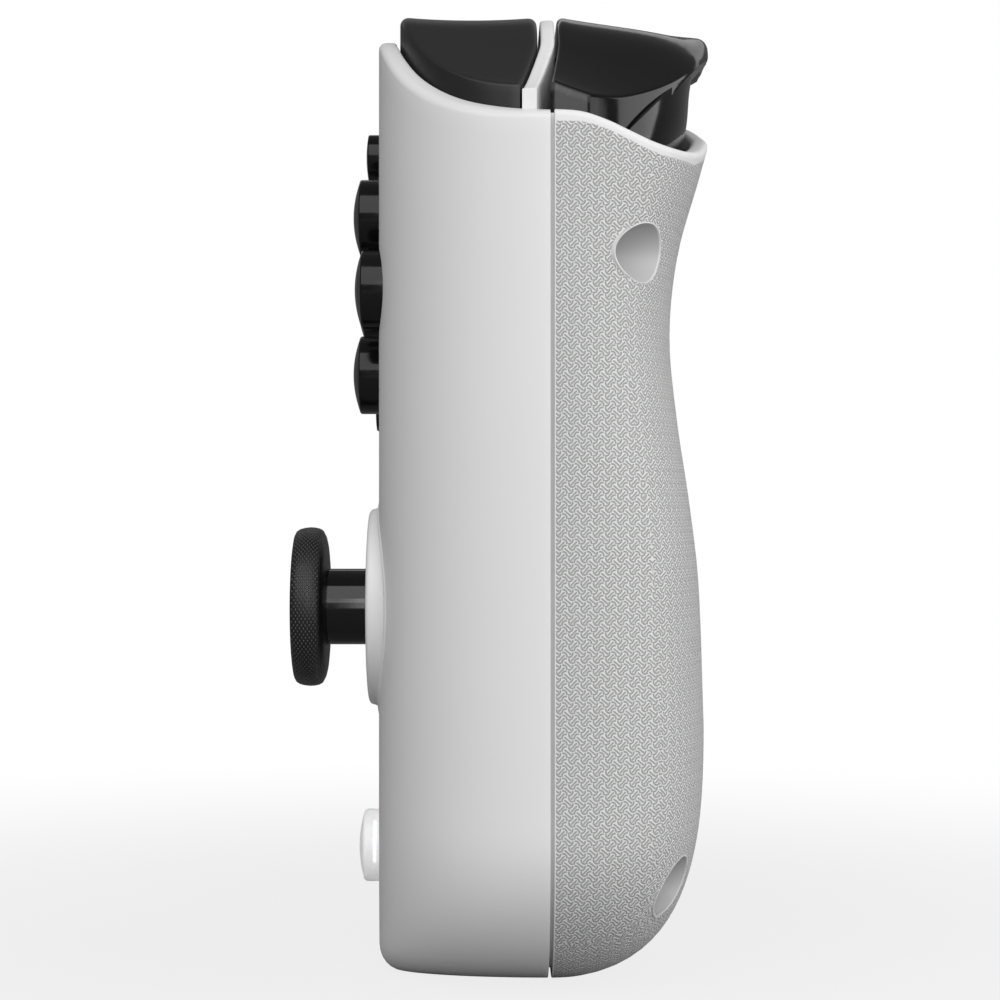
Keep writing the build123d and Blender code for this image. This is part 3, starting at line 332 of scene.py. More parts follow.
def colouredFinish(name, colour, rough, grain, depth, **constants):
    finish = Finish(name, **constants)
    where = finish.place()
    fine = finish.noise(where, 1 / grain, 3.0, 0.6)
    tone = finish.smooth(fine, *noiseSpan)
    finish.feed(Base_Color=finish.blend(tone, darker(colour, 0.86), colour),
                Roughness=finish.smooth(fine, *noiseSpan, rough - 0.06, rough + 0.06))
    finish.relief(fine, depth)
    return finish.material


boardFinish = colouredFinish("board lacquer", (0.012, 0.11, 0.045, 1.0), 0.3, 1.6, 0.01, Coat_Weight=0.4)
wrapFinish = colouredFinish("battery wrap", (0.03, 0.09, 0.22, 1.0), 0.28, 2.4, 0.02)
padFinish = colouredFinish("pad rubber", (0.10, 0.10, 0.105, 1.0), 0.6, 0.5, 0.01)
greyFinish = colouredFinish("grey plastic", (0.22, 0.225, 0.23, 1.0), 0.45, 0.3, 0.008)
print("finishes made")

slotFinish = {"white_shell": shellFinish, "white_grip": gripFinish, "black_satin": satinFinish,
              "black_gloss": glossFinish, "stick_rubber": knurlFinish, "pad_rubber": padFinish,
              "frosted_white": frostGlowFinish, "grey_plastic": greyFinish, "steel": steelFinish,
              "contact_gold": goldFinish, "board_green": boardFinish, "battery_wrap": wrapFinish}


# shapes. creases sharper than this angle stay crisp, corners sharper than the other get the bevel
creaseAngle = 38
bevelAngle = 50


def sine(angle):
    return math.sin(math.radians(angle))


def cosine(angle):
    return math.cos(math.radians(angle))


def newObject(name, data):
    made = bpy.data.objects.new(name, data)
    scene.collection.objects.link(made)
    return made


def addPiece(name, points, faces, material, crease=creaseAngle, bevel=0.0):
    mesh = bpy.data.meshes.new(name)
    mesh.from_pydata([(x * mm, y * mm, z * mm) for x, y, z in points], [], faces)
    work = bmesh.new()
    work.from_mesh(mesh)
    bmesh.ops.remove_doubles(work, verts=work.verts, dist=0.002 * mm)
    bmesh.ops.recalc_face_normals(work, faces=work.faces)
    work.to_mesh(mesh)
    work.free()
    piece = newObject(name, mesh)
    mesh.materials.append(material)
    if bevel:
        edge = piece.modifiers.new("edge", "BEVEL")
        edge.width = bevel * mm
        edge.segments = 3
        edge.limit_method = "ANGLE"
        edge.angle_limit = math.radians(bevelAngle)
        bake(piece)
    shade(piece, crease)
    return piece


def shade(piece, crease):
    piece.data.shade_smooth()
    piece.data.set_sharp_from_angle(angle=math.radians(crease))


def bake(piece):
    # what the modifiers make becomes the piece's own mesh
    shown = piece.evaluated_get(bpy.context.evaluated_depsgraph_get())
    mesh = bpy.data.meshes.new_from_object(shown)
    piece.modifiers.clear()
    piece.data = mesh


def cutAway(piece, cutters):
    for cutter in cutters:
        cut = piece.modifiers.new("cut", "BOOLEAN")
        cut.object = cutter
        cut.solver = "EXACT"
    bake(piece)
    for cutter in cutters:
        bpy.data.objects.remove(cutter)
    shade(piece, creaseAngle)


def arc(centre, radius, start, end, steps):
    # points of a round corner in a profile, in (radius, y)
    turn = [start + (end - start) * i / steps for i in range(steps + 1)]
    return [(centre[0] + radius * cosine(a), centre[1] + radius * sine(a)) for a in turn]


def turned(name, profile, x, z, material, sides=96, crease=creaseAngle):
    # a profile of (radius, y) turned about a line along Y; a radius of 0 closes it with a point
    points, faces, rings = [], [], []
    for radius, y in profile:
        if radius < 1e-6:
            rings.append([len(points)])
            points.append((x, y, z))
            continue
        rings.append([len(points) + i for i in range(sides)])
        for i in range(sides):
            a = 2 * math.pi * i / sides
            points.append((x + radius * math.cos(a), y, z + radius * math.sin(a)))
    for first, second in zip(rings, rings[1:]):
        a, b = len(first), len(second)
        for i in range(sides):
            j = (i + 1) % sides
            face = [first[i % a], first[j % a], second[j % b], second[i % b]]
            faces.append(list(dict.fromkeys(face)))
    return addPiece(name, points, faces, material, crease)


def ringFaces(stations, size, closed=True):
    # the faces between closed rings of points that follow each other
    faces = []
    for i in range(stations if closed else stations - 1):
        a, b = i * size, (i + 1) % stations * size
        for k in range(size):
            m = (k + 1) % size
            faces.append((a + k, b + k, b + m, a + m))
    return faces


def bar(name, outline, x0, x1, material, bevel=0.0):
    # an outline in (y, z) carried along X
    count = len(outline)
    points = [(x, y, z) for x in (x0, x1) for y, z in outline]
    ends = [list(range(count)), list(range(count, 2 * count))]
    return addPiece(name, points, ends + ringFaces(2, count, closed=False), material, bevel=bevel)


def through(table, at):
    # value at `at` on a smooth curve through (position, value) pairs
    last = len(table) - 2
    i = min(max(sum(p[0] <= at for p in table) - 1, 0), last)
    (a, fa), (b, fb) = table[i], table[i + 1]

    def slope(k):
        low, high = table[max(k - 1, 0)], table[min(k + 1, last + 1)]
        return (high[1] - low[1]) / (high[0] - low[0])

    t = (min(max(at, table[0][0]), table[-1][0]) - a) / (b - a)
    rise = (2 * t**3 - 3 * t**2 + 1) * fa + (3 * t**2 - 2 * t**3) * fb
    return rise + (b - a) * ((t**3 - 2 * t**2 + t) * slope(i) + (t**3 - t**2) * slope(i + 1))


def fall(t, power=2.0):
    # 0 to 1, slow at first, along a rounded corner
    t = min(max(t, 0.0), 1.0)
    return 1 - (1 - t**power) ** (1 / power)


# the form of the grip, as the CAD has it
body = {"width": 54.0, "top": 51.65, "foot": -51.65, "front": -7.0, "seam": 11.8, "seamGap": 0.4, "wall": 2.0,
        "flat": 33.0, "footFlat": 31.0, "innerBack": 9.0, "crown": 30 / 54, "sideRound": (17.65, 20.0),
        "footRound": 27.65, "footDepth": 14.0, "footEdge": (2.65, 3.25), "fullness": 2.4,
        "back": ((-24.0, 29.0), (-8.2, 28.4), (0.75, 27.35), (9.7, 26.0), (18.7, 25.2), (27.7, 26.1),
                 (36.6, 28.6), (44.0, 30.6), (54.0, 32.6)),
        "frontRim": ((0.0, 11.0), (1.3, 10.72), (2.8, 10.08), (5.0, 8.95), (8.0, 7.1), (10.7, 5.3),
                     (14.0, 3.05), (17.0, 1.35), (21.0, 0.2), (25.0, 0.0), (54.0, 0.0)),
        "sideRim": ((0.0, 10.7), (3.1, 10.9), (5.9, 11.65), (8.8, 12.65), (11.7, 13.45), (15.0, 13.8),
                    (22.0, 13.9)),
        "innerRise": ((0.0, 0.0), (9.0, 0.0), (15.0, 0.8), (24.0, 3.2), (29.0, 4.3), (37.0, 6.6), (44.0, 8.6),
                      (54.0, 10.7)),
        "lip": 0.8, "innerLip": 0.45, "edge": 0.22, "footFullness": 2.6,
        "planZ": 44.0,  # the rims are taken over the plan outline at this height
        "rows": 44}


def bodyLimits(z, inset):
    # how far the plan outline reaches at height z, moved inwards by the inset
    b = body
    foot = b["foot"] + inset
    sideStart = b["foot"] + b["sideRound"][0]
    sideDrop = fall((sideStart - z) / (sideStart - foot))
    width = b["width"] - inset - (b["sideRound"][1] - inset) * sideDrop
    flat = b["flat"] - (b["flat"] - b["footFlat"]) * sideDrop
    edge, edgeRise = b["footEdge"]
    edgeStart = b["foot"] + edgeRise
    front = b["front"] + inset + max(edge - inset, 0.3) * fall((edgeStart - z) / (edgeStart - foot))
    footStart = b["foot"] + b["footRound"]
    back = through(b["back"], max(z, footStart)) - inset
    if z < footStart:
        drop = fall((footStart - z) / (footStart - foot), b["footFullness"])
        back = b["footDepth"] + (back - b["footDepth"]) * (1 - drop)
    return width, front, back, flat


def bodyPoint(kind, t, z, inset):
    # plan position on one stretch of the outline at height z
    width, front, back, flat = bodyLimits(z, inset)
    seam = body["seam"]
    gap = body["seamGap"] / 2
    crown = width * body["crown"]
    innerY = body["innerBack"] - inset
    deep = back - innerY
    if kind == "corner":
        start = math.asin(gap / (seam - front))
        a = start + (math.pi / 2 - start) * t
        return flat + (width - flat) * math.cos(a), seam + (front - seam) * math.sin(a)
    if kind == "face":
        return flat + (inset - flat) * t, front
    if kind == "side":
        return inset, front + (innerY - front) * t
    if kind == "outerBack":
        power = 2 / body["fullness"]
        start = math.asin(min((gap / (back - seam)) ** (1 / power), 1.0))
        a = start + (math.pi / 2 - start) * t
        reach = max(math.cos(a), 0) ** power
        return crown + (width - crown) * reach, seam + (back - seam) * math.sin(a) ** power
    if kind == "innerFront":
        a = math.asin(min((seam - gap - innerY) / deep, 1.0)) * t
    else:
        end = math.asin(min((seam + gap - innerY) / deep, 1.0))
        a = math.pi / 2 + (end - math.pi / 2) * t
    return crown - (crown - inset) * math.cos(a), innerY + deep * math.sin(a)


def frontRim(x, y):
    return body["top"] - through(body["frontRim"], body["width"] - x)


def backRim(x, y):
    drop = through(body["sideRim"], y - body["seam"])
    return body["top"] - drop + through(body["innerRise"], body["width"] - x)


def shellPiece(name, stations, rim, material):
    # a closed shell: columns from the rim to the foot, outside and inside, with a rounded lip
    lip, innerLip, wall = body["lip"], body["innerLip"], body["wall"]
    planZ, rows = body["planZ"], body["rows"]
    sideStart = body["foot"] + body["sideRound"][0]
    lipRows = [(lip * (1 - cosine(a)), lip * (1 - sine(a))) for a in range(0, 91, 15)]
    lipRows += [(wall - innerLip + innerLip * sine(a), innerLip * (1 - cosine(a))) for a in range(0, 91, 30)]
    points, columns = [], []
    for kind, t in stations:
        column = []
        for inset, corner in ((0.0, lip), (wall, innerLip)):
            start = rim(*bodyPoint(kind, t, planZ, inset)) - corner
            foot = body["foot"] + inset
            levels = [start + (sideStart - start) * i / rows for i in range(1, rows + 1)]
            levels += [sideStart - (sideStart - foot) * sine(a) for a in range(5, 91, 5)]
            column.append([(*bodyPoint(kind, t, z, inset), z) for z in levels])
        over = []
        for inset, drop in lipRows:
            height = rim(*bodyPoint(kind, t, planZ, inset)) - drop
            over.append((*bodyPoint(kind, t, height, inset), height))
        line = list(reversed(column[0])) + over + column[1]
        columns.append([len(points) + i for i in range(len(line))])
        points += line
    faces = []
    for first, second in zip(columns, columns[1:]):
        for i in range(len(first) - 1):
            faces.append((first[i], second[i], second[i + 1], first[i + 1]))
    outer = len(columns[0])
    faces.append([c[0] for c in columns])
    faces.append([c[-1] for c in reversed(columns)])
    count = (outer - len(lipRows)) // 2
    for column in (columns[0], columns[-1]):
        for i in range(count):
            faces.append((column[i], column[i + 1], column[outer - 2 - i], column[outer - 1 - i]))
        faces.append([column[i] for i in range(count, outer - count)])
    first, last = columns[0], columns[-1]
    faces.append((first[0], last[0], last[-1], first[-1]))
    return addPiece(name, points, faces, material, bevel=body["edge"])


hole = {"deep": 4, "clear": 14, "sides": 72}


def flaredHole(radius, x, z, edge):
    # a cutter whose mouth leaves a rounded edge in the front face
    face = body["front"]
    mouth = radius + edge * 1.5
    profile = [(0.0, face + hole["deep"]), (radius, face + hole["deep"])]
    profile += [(radius + edge - edge * cosine(a), face + (edge - edge * sine(a))) for a in range(0, 76, 15)]
    profile += [(mouth, face - 0.35), (mouth, face - hole["clear"]), (0.0, face - hole["clear"])]
    return turned("cutter", profile, x, z, shellFinish, sides=hole["sides"])


def roundCutter(radius, x, z, floor):
    # a plain round cutter from the floor out past the back
    profile = [(0.0, floor), (radius, floor), (radius, 60.0), (0.0, 60.0)]
    return turned("cutter", profile, x, z, shellFinish, sides=hole["sides"])


def blockCutter(low, high):
    (ax, ay, az), (bx, by, bz) = low, high
    return bar("cutter", [(ay, az), (by, az), (by, bz), (ay, bz)], ax, bx, shellFinish)


def steps(kind, count, first=0):
    return [(kind, i / count) for i in range(first, count + 1)]


frontStations = steps("corner", 40) + steps("face", 12, 1) + steps("side", 12, 1) + steps("innerFront", 4, 1)
backStations = steps("outerBack", 44) + steps("innerBack", 34, 1)

faceKey = {"radius": 4.43, "proud": 3.3, "dome": 0.74, "edge": 0.3, "flange": 0.72, "thick": 1.0,
           "stem": (2.2, -3.6), "mouth": 0.3, "sides": 120, "slot": "black_gloss"}
smallKey = {"flange": 0.6, "thick": 0.8, "stem": (1.0, -2.95), "mouth": 0.22, "sides": 96,
            "slot": "black_gloss"}
keys = {
    "button_top": {**faceKey, "x": 25.0, "z": 32.82, "body": "top_button"},
    "button_outer": {**faceKey, "x": 33.92, "z": 23.9, "proud": 2.65, "body": "outer_button"},
    "button_bottom": {**faceKey, "x": 25.0, "z": 14.98, "body": "bottom_button"},
    "button_inner": {**faceKey, "x": 16.08, "z": 23.9, "body": "inner_button"},
    "menu_button": {**smallKey, "x": 14.0, "z": 41.2, "radius": 2.8, "proud": 2.4, "dome": 0.22, "edge": 0.22,
                    "body": "menu_key"},
    "function_button": {**smallKey, "x": 14.0, "z": 11.2, "radius": 2.3, "proud": 1.3, "dome": 0.12,
                        "edge": 0.18, "body": "function_key"},
    "home_button": {**smallKey, "x": 25.0, "z": -38.6, "radius": 4.1, "proud": 2.6, "dome": 0.5, "edge": 0.5,
                    "body": "home_key", "slot": "frosted_white"}}
keyClear = 0.18  # between a button and its hole
sideOpening = ((-1, -4.0, -45.0), (2.5, 7.4, 45.0))  # two corners of the side plate's opening
releaseHole = {"radius": 2.7, "x": 6.45, "z": 29.0, "floor": 12.5}


def frontShell():
    piece = shellPiece("front_shell_skin", frontStations, frontRim, shellFinish)
    cutters = [blockCutter(*sideOpening)]
    cutters += [flaredHole(k["radius"] + keyClear, k["x"], k["z"], k["mouth"]) for k in keys.values()]
    cutters.append(flaredHole(stick["hole"], stick["x"], stick["z"], stick["mouth"]))
    cutAway(piece, cutters)
    return piece


def backShell():
    piece = shellPiece("back_shell_skin", backStations, backRim, gripFinish)
    cutters = [roundCutter(wellRadius, x, z, wellCupShape["floor"] - 0.1) for x, z in wells]
    cutters.append(roundCutter(**releaseHole))
    cutAway(piece, cutters)
    return piece


def backHeight(x, z, inset):
    # Y of the back surface over a place in X and Z
    width, _, back, _ = bodyLimits(z, inset)
    crown, power = width * body["crown"], body["fullness"]
    if x > crown:
        reach = min((x - crown) / (width - crown), 1.0)
        return body["seam"] + (back - body["seam"]) * (1 - reach ** power) ** (1 / power)
    innerY = body["innerBack"] - inset
    reach = min((crown - x) / (crown - inset), 1.0)
    return innerY + (back - innerY) * math.sqrt(1 - reach * reach)


wellCupShape = {"floor": 16.0, "lip": 0.15, "fit": 0.03, "wall": 0.3, "bore": 1.25, "sunk": 0.5, "sides": 72,
                "tone": 0.60}
# the wells' white is darker (tone) than the shell's white: painted shade in the recesses
shadedCupFinish = plainMoulding("white with painted shade in the wells", **{**whiteShell, "colour": wellCupShape["tone"]})


def wellCup(name, x, z):
    # the well's floor and wall, up to just inside the shell's face, in a darker white that paints the shade
    # of the recess
    w = wellCupShape
    points, sides = [], w["sides"]
    r, floor = wellRadius - w["fit"], w["floor"]
    outside, under = r + w["wall"], floor - w["sunk"]
    for i in range(sides):
        a = 2 * math.pi * i / sides
        c, s = math.cos(a), math.sin(a)
        top = max(backHeight(x + r * c, z + r * s, 0.0) - w["lip"], floor + 0.3)
        for radius, y in ((w["bore"], under), (w["bore"], floor), (r - 0.25, floor), (r - 0.06, floor + 0.06),
                          (r, floor + 0.25), (r, top), (outside, top), (outside, under)):
            points.append((x + radius * c, y, z + radius * s))
    return addPiece(name, points, ringFaces(sides, len(points) // sides), shadedCupFinish)


screw = {"head": 2.5, "height": 1.7, "edge": 0.35, "dome": 0.15, "shank": 1.1, "length": 4.0,
         "slot": (0.62, 2.9), "deep": 0.95}


def caseScrew(name, x, z):
    # a pan head with a cross recess, on the well's floor
    k = screw
    floor = wellCupShape["floor"]
    top = floor + k["height"]
    end = floor - k["length"]
    profile = [(0.0, end), (k["shank"], end), (k["shank"], floor), (k["head"], floor)]
    profile += arc((k["head"] - k["edge"], top - k["edge"]), k["edge"], 0, 80, 5)
    profile += [(k["head"] * 0.5, top + k["dome"] * 0.7), (0.0, top + k["dome"])]
    piece = turned(name, profile, x, z, steelFinish, sides=64)
    wide, long = (size / 2 for size in k["slot"])
    cutters = [blockCutter((x - a, top - k["deep"], z - b), (x + a, top + 1, z + b))
               for a, b in ((wide, long), (long, wide))]
    cutAway(piece, cutters)
    return piece


tongue = {"rows": ((1.1, 11.2), (1.1, 13.1), (1.95, 13.1), (1.95, 11.2)), "drop": 11.05, "clear": 0.5,
          "innerTop": 49.0}


def seamTongue():
    # the front shell's tongue, seen in the groove between the shells
    rows, clear = tongue["rows"], tongue["clear"]
    start = body["top"] - tongue["drop"]
    sideStart = body["foot"] + body["sideRound"][0]
    paths = []
    for inset, y in rows:
        foot = body["foot"] + inset
        heights = [start + (sideStart - start) * i / 30 for i in range(30)]
        heights += [sideStart - (sideStart - foot) * sine(a) for a in range(0, 91, 5)]
        path = [(bodyLimits(z, inset)[0], y, z) for z in heights]
        width = path[-1][0]
        path += [(width + (inset + clear - width) * t / 6, y, foot) for t in range(1, 7)]
        path += [(inset + clear, y, foot + (tongue["innerTop"] - foot) * t / 30) for t in range(1, 31)]
        paths.append(path)
    points = [point for station in zip(*paths) for point in station]
    return addPiece("seam_tongue", points, ringFaces(len(paths[0]), len(rows), closed=False), shellFinish)


def dress(piece, node, bodyName="housing"):
    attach(piece, bodyName)
    if node:
        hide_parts(node)


dress(frontShell(), "front_shell")
dress(backShell(), "back_shell")
dress(seamTongue(), None)
for number, (x, z) in enumerate(wells, 1):
    dress(wellCup(f"well_cup_{number}", x, z), None)
    dress(caseScrew(f"case_screw_{number}", x, z), "case_screws")
print("shells made")

# the controls at the top
controls = {"gap": 0.35, "rise": 2.9, "hollow": 0.4, "outerDrop": 0.35, "outerX": (32.0, 44.0),
            "dividerY": 11.55, "sweep": 2.1, "sweepX": (41.2, 51.6), "sweepSoft": 1.2, "thickness": 1.5,
            "dividerDrop": 0.4, "dividerX": (2.15, 51.6), "dividerEdge": 0.3, "endEdge": 0.08, "skirt": 3.2,
            "edge": 1.0, "crisp": 0.3, "crispX": (33.0, 43.0), "bumperEnd": 51.05}
lever = {"rise": 3.15, "sweep": 1.1, "lean": 1.5, "roll": 4.6, "rollStart": 24.0, "cornerDrop": 3.0,
         "undercut": 0.79, "undercutZ": 50.4, "depth": 3.7, "innerLift": 0.5, "innerX": (10.0, 30.0),
         "under": (20.8, 39.3), "underSlope": 1.19, "underTop": 47.0, "outerDepth": (1.1, 5.4),
         "outerX": (26.0, 36.0), "edge": 0.85, "innerEdge": 1.2, "sideEdge": 0.28, "edgeX": (30.0, 44.0),
         "tipY": 29.9, "side": 50.85, "facet": (15.9, 12.0),
         "back": ((2.35, 22.4), (7.0, 27.3), (15.0, 29.5), (24.0, 29.9), (31.0, 29.6), (38.05, 27.9),
                  (43.45, 24.7), (48.55, 19.7), (50.85, 15.9))}
skirt = {"wall": 1.6, "into": 1.2, "shift": (0.54, 1.2), "shiftZ": (41.0, 47.0), "foot": (42.0, 36.5),
         "footX": (16.0, 30.0), "rows": 26}


def smoothStep(value, low, high):
    t = min(max((value - low) / (high - low), 0.0), 1.0)
    return 3 * t**2 - 2 * t**3


def eased(start, end, value, span):
    # from start to end while the value crosses the span
    return start + (end - start) * smoothStep(value, *span)


def outerDrop(x):
    return controls["outerDrop"] * smoothStep(x, *controls["outerX"])


def dividerLine(x, sweep):
    # straight, then a slanted run to the outer end
    c = controls
    (start, end), soft = c["sweepX"], c["sweepSoft"]
    run = min(max(x - start + soft, 0.0), 2 * soft)
    slant = run**2 / (4 * soft) + max(x - start - soft, 0.0)
    return c["dividerY"] - sweep * min(slant / (end - start), 1.0)


def controlHeight(x, y):
    c = controls
    frontIn = body["front"] + body["wall"]
    middle = (frontIn + c["dividerY"]) / 2
    half = (c["dividerY"] - frontIn) / 2
    hollow = c["hollow"] * (1 - min(abs(y - middle) / half, 1.0) ** 2)
    return frontRim(x, y) + c["rise"] - hollow - outerDrop(x)


def dividerHeight(x, y):
    return controlHeight(x, y) - controls["dividerDrop"]


def triggerHeight(x, y):
    t = lever
    along = max(y - controls["dividerY"], 0.0) / (t["tipY"] - controls["dividerY"])
    out = max(x - t["rollStart"], 0.0) / (t["side"] - t["rollStart"])
    roll = t["roll"] * along**0.85 * out**2 / (out + 0.1)
    corner = t["cornerDrop"] * along**6 * smoothStep(x, t["rollStart"] + 2, t["rollStart"] + 12)
    return frontRim(x, y) + t["rise"] - t["lean"] * along**0.8 - roll - corner - outerDrop(x)


def triggerUnder(x, y):
    # the cap's lower edge: even on the inner side, a slanted line on the outer side
    t = lever
    height = triggerHeight(x, y)
    inner = height - t["depth"] + eased(t["innerLift"], 0.0, x, t["innerX"])
    slant = min(t["under"][1] + t["underSlope"] * (y - t["under"][0]), t["underTop"])
    outer = min(max(slant, height - t["outerDepth"][1]), height - t["outerDepth"][0])
    return eased(inner, outer, x, t["outerX"])


def frontOutline(x, inset):
    # Y of the front wall's line at this inset
    front = body["front"] + inset
    if x <= body["flat"]:
        return front
    reach = min((x - body["flat"]) / (body["width"] - inset - body["flat"]), 1.0)
    return body["seam"] + (front - body["seam"]) * math.sqrt(1 - reach * reach)


def insetLoop(loop, amounts):
    # a closed plan outline moved inwards, each point by its own amount
    moved = []
    count = len(loop)
    for i in range(count):
        before, at, after = (Vector(loop[(i + k) % count]) for k in (-1, 0, 1))
        a, b = (at - before).normalized(), (after - at).normalized()
        na, nb = Vector((-a.y, a.x)), Vector((-b.y, b.x))
        mid = (na + nb).normalized()
        moved.append(tuple(at + mid * (amounts[i] / max(mid.dot(na), 0.6))))
    return moved


def lidPiece(name, front, back, height, low, edges, material, rows=10, lean=None, crease=creaseAngle):
    # a block under a height surface, between two chains of plan points that match one to one.
    # edges gives the rounding of the top edge for each point of the front and back chains
    loop = list(front) + list(reversed(back))
    radii = list(edges[0]) + list(reversed(edges[1]))
    points, count, n = [], len(loop), len(front)
    levels = [("side", t / 6) for t in range(7)] + [("round", a) for a in range(15, 91, 15)]
    for kind, value in levels:
        line = insetLoop(loop, [r * (1 - cosine(value)) for r in radii]) if kind == "round" else loop
        for (x, y), (ox, oy), radius in zip(line, loop, radii):
            bottom = low(ox, oy)
            if kind == "side":
                z = bottom + (height(ox, oy) - radius - bottom) * value
            else:
                z = height(x, y) - radius * (1 - sine(value))
            points.append((x, lean(y, z) if lean else y, z))
    faces = ringFaces(len(levels), count, closed=False)
    last, grid = len(points) - count, []
    for i in range(n):
        a, b = last + i, last + count - 1 - i
        column = [a]
        for j in range(1, rows):
            x = points[a][0] + (points[b][0] - points[a][0]) * j / rows
            y = points[a][1] + (points[b][1] - points[a][1]) * j / rows
            column.append(len(points))
            points.append((x, y, height(x, y)))
        grid.append(column + [b])
    for first, second in zip(grid, grid[1:]):
        for j in range(rows):
            faces.append((first[j], second[j], second[j + 1], first[j + 1]))
    faces += [(i, i + 1, count - 2 - i, count - 1 - i) for i in range(n - 1)]
    return addPiece(name, points, faces, material, crease)


def spaced(low, high, count, ease=1.0):
    # count + 1 values, closer together at the high end when ease is above 1
    return [low + (high - low) * (1 - (1 - i / count) ** ease) for i in range(count + 1)]


def lowEdge(x, y):
    return frontRim(x, y) - controls["skirt"]


web = {"floor": 34.6, "thick": 1.4, "edge": 0.2, "foot": (4.0, 45.0, 8.15, 14.05),
       "rib": (6.0, 10.0, 1.0, 11.5), "ear": (6.0, 10.0, 1.0, 2.2), "earTop": 48.8, "pin": (15.0, 40.5),
       "round": 2.2, "ears": ((10.0, 12.4), (36.0, 38.4))}


def webFoot(x, y):
    return web["floor"]


def bumper():
    c = controls
    inset = body["wall"] + c["gap"]
    offset = c["thickness"] / 2 + c["gap"]
    xs = spaced(inset, c["bumperEnd"], 70, 1.4)
    front = [(x, frontOutline(x, inset)) for x in xs]
    back = [(x, dividerLine(x, c["sweep"]) - offset) for x in xs]
    backEdge = [min(c["edge"], 0.42 * (b[1] - a[1])) for a, b in zip(front, back)]
    frontEdge = [min(eased(c["edge"], c["crisp"], x, c["crispX"]), r) for x, r in zip(xs, backEdge)]
    piece = lidPiece("bumper_cap", front, back, controlHeight, lowEdge, (frontEdge, backEdge), satinFinish)
    dress(piece, "bumper", "bumper_lever")


def divider():
    c = controls
    half = c["thickness"] / 2
    xs = spaced(*c["dividerX"], 60, 1.2)
    front = [(x, dividerLine(x, c["sweep"]) - half) for x in xs]
    back = [(x, dividerLine(x, c["sweep"]) + half) for x in xs]
    edges = [c["dividerEdge"]] * (len(xs) - 1) + [c["endEdge"]]
    piece = lidPiece("divider_web", front, back, dividerHeight, webFoot, (edges, edges), shellFinish, rows=4)
    dress(piece, "shoulder_divider")
    w = web
    floor, top = w["floor"], w["floor"] + w["thick"]
    for name, (x0, x1, y0, y1), high in (("divider_foot", w["foot"], top), ("divider_rib", w["rib"], top),
                                         ("bumper_pin_ear", w["ear"], w["earTop"])):
        outline = [(y0, floor), (y1, floor), (y1, high), (y0, high)]
        dress(bar(name, outline, x0, x1, shellFinish, w["edge"]), None)
    y, z = w["pin"]
    outline = [(y + w["round"], floor)] + arc((y, z), w["round"], 0, 180, 15) + [(y - w["round"], floor)]
    for number, (x0, x1) in enumerate(w["ears"], 1):
        dress(bar(f"trigger_pin_ear_{number}", outline, x0, x1, shellFinish, w["edge"]), None)


def arcBetween(points, count):
    # a smooth chain through a few plan points, at even steps
    ends = [points[0]] + list(points) + [points[-1]]
    chain = []
    for a, b, c, d in zip(ends, ends[1:], ends[2:], ends[3:]):
        a, b, c, d = Vector(a), Vector(b), Vector(c), Vector(d)
        for i in range(12):
            t = i / 12
            chain.append(b + (c - a) * 0.5 * t + (a * 2 - b * 5 + c * 4 - d) * 0.5 * t**2
                         + (b * 3 - a - c * 3 + d) * 0.5 * t**3)
    chain.append(Vector(points[-1]))
    lengths = [0.0]
    for a, b in zip(chain, chain[1:]):
        lengths.append(lengths[-1] + (b - a).length)
    even = []
    for i in range(count + 1):
        want = lengths[-1] * i / count
        k = max(sum(length < want for length in lengths) - 1, 0)
        span = lengths[k + 1] - lengths[k]
        even.append(tuple(chain[k].lerp(chain[k + 1], (want - lengths[k]) / span)))
    return even


def leanIn(y, z):
    # the trigger's back leans in below its tip
    return min(y, lever["tipY"] - max(lever["undercutZ"] - z, 0.0) * lever["undercut"])


def triggerCap():
    t = lever
    offset = controls["thickness"] / 2 + controls["gap"]
    inset = body["wall"] + controls["gap"]
    (start, end), side = t["facet"], t["side"]
    back = arcBetween(t["back"], 64) + [(side, start + (end - start) * i / 8) for i in range(1, 9)]
    count = len(back) - 1
    xs = [inset + (side - 0.05 - inset) * (i / count) for i in range(count + 1)]
    front = [(x, dividerLine(x, t["sweep"]) + offset) for x in xs]
    frontEdge = [t["edge"]] * len(back)
    backEdge = [eased(t["innerEdge"], t["sideEdge"], x, t["edgeX"]) for x, y in back]
    piece = lidPiece("trigger_cap", front, back, triggerHeight, triggerUnder, (frontEdge, backEdge),
                     glossFinish, rows=14, lean=leanIn, crease=32)
    dress(piece, "trigger", "trigger_lever")


def triggerSkirt():
    # the curved wall under the cap
    k = skirt
    inset = body["wall"] + controls["gap"]
    stations = steps("outerBack", 40) + steps("innerBack", 30, 1)
    points, faces, rows = [], [], k["rows"]
    for kind, along in stations:
        x, y = bodyPoint(kind, along, body["planZ"], inset)
        top = triggerUnder(x, y - k["shift"][1]) + k["into"]
        foot = eased(*k["foot"], x, k["footX"])
        for depth in (inset, inset + k["wall"]):
            for i in range(rows + 1):
                z = foot + (top - foot) * i / rows
                px, py = bodyPoint(kind, along, z, depth)
                points.append((px, py - eased(*k["shift"], z, k["shiftZ"]), z))
    size, last = 2 * (rows + 1), len(stations) - 1
    for first in range(0, last * size, size):
        second = first + size
        for i in range(rows):
            faces.append((first + i, second + i, second + i + 1, first + i + 1))
            a, b = first + rows + 1 + i, second + rows + 1 + i
            faces.append((a, a + 1, b + 1, b))
        faces.append((first, first + rows + 1, second + rows + 1, second))
        faces.append((first + rows, second + rows, second + size - 1, first + size - 1))
    for first in (0, last * size):
        faces.append([first + i for i in range(rows + 1)] + [first + size - 1 - i for i in range(rows + 1)])
    piece = addPiece("trigger_skirt", points, faces, glossFinish)
    dress(piece, None, "trigger_lever")


bumper()
divider()
triggerCap()
triggerSkirt()
print("shoulder controls made")


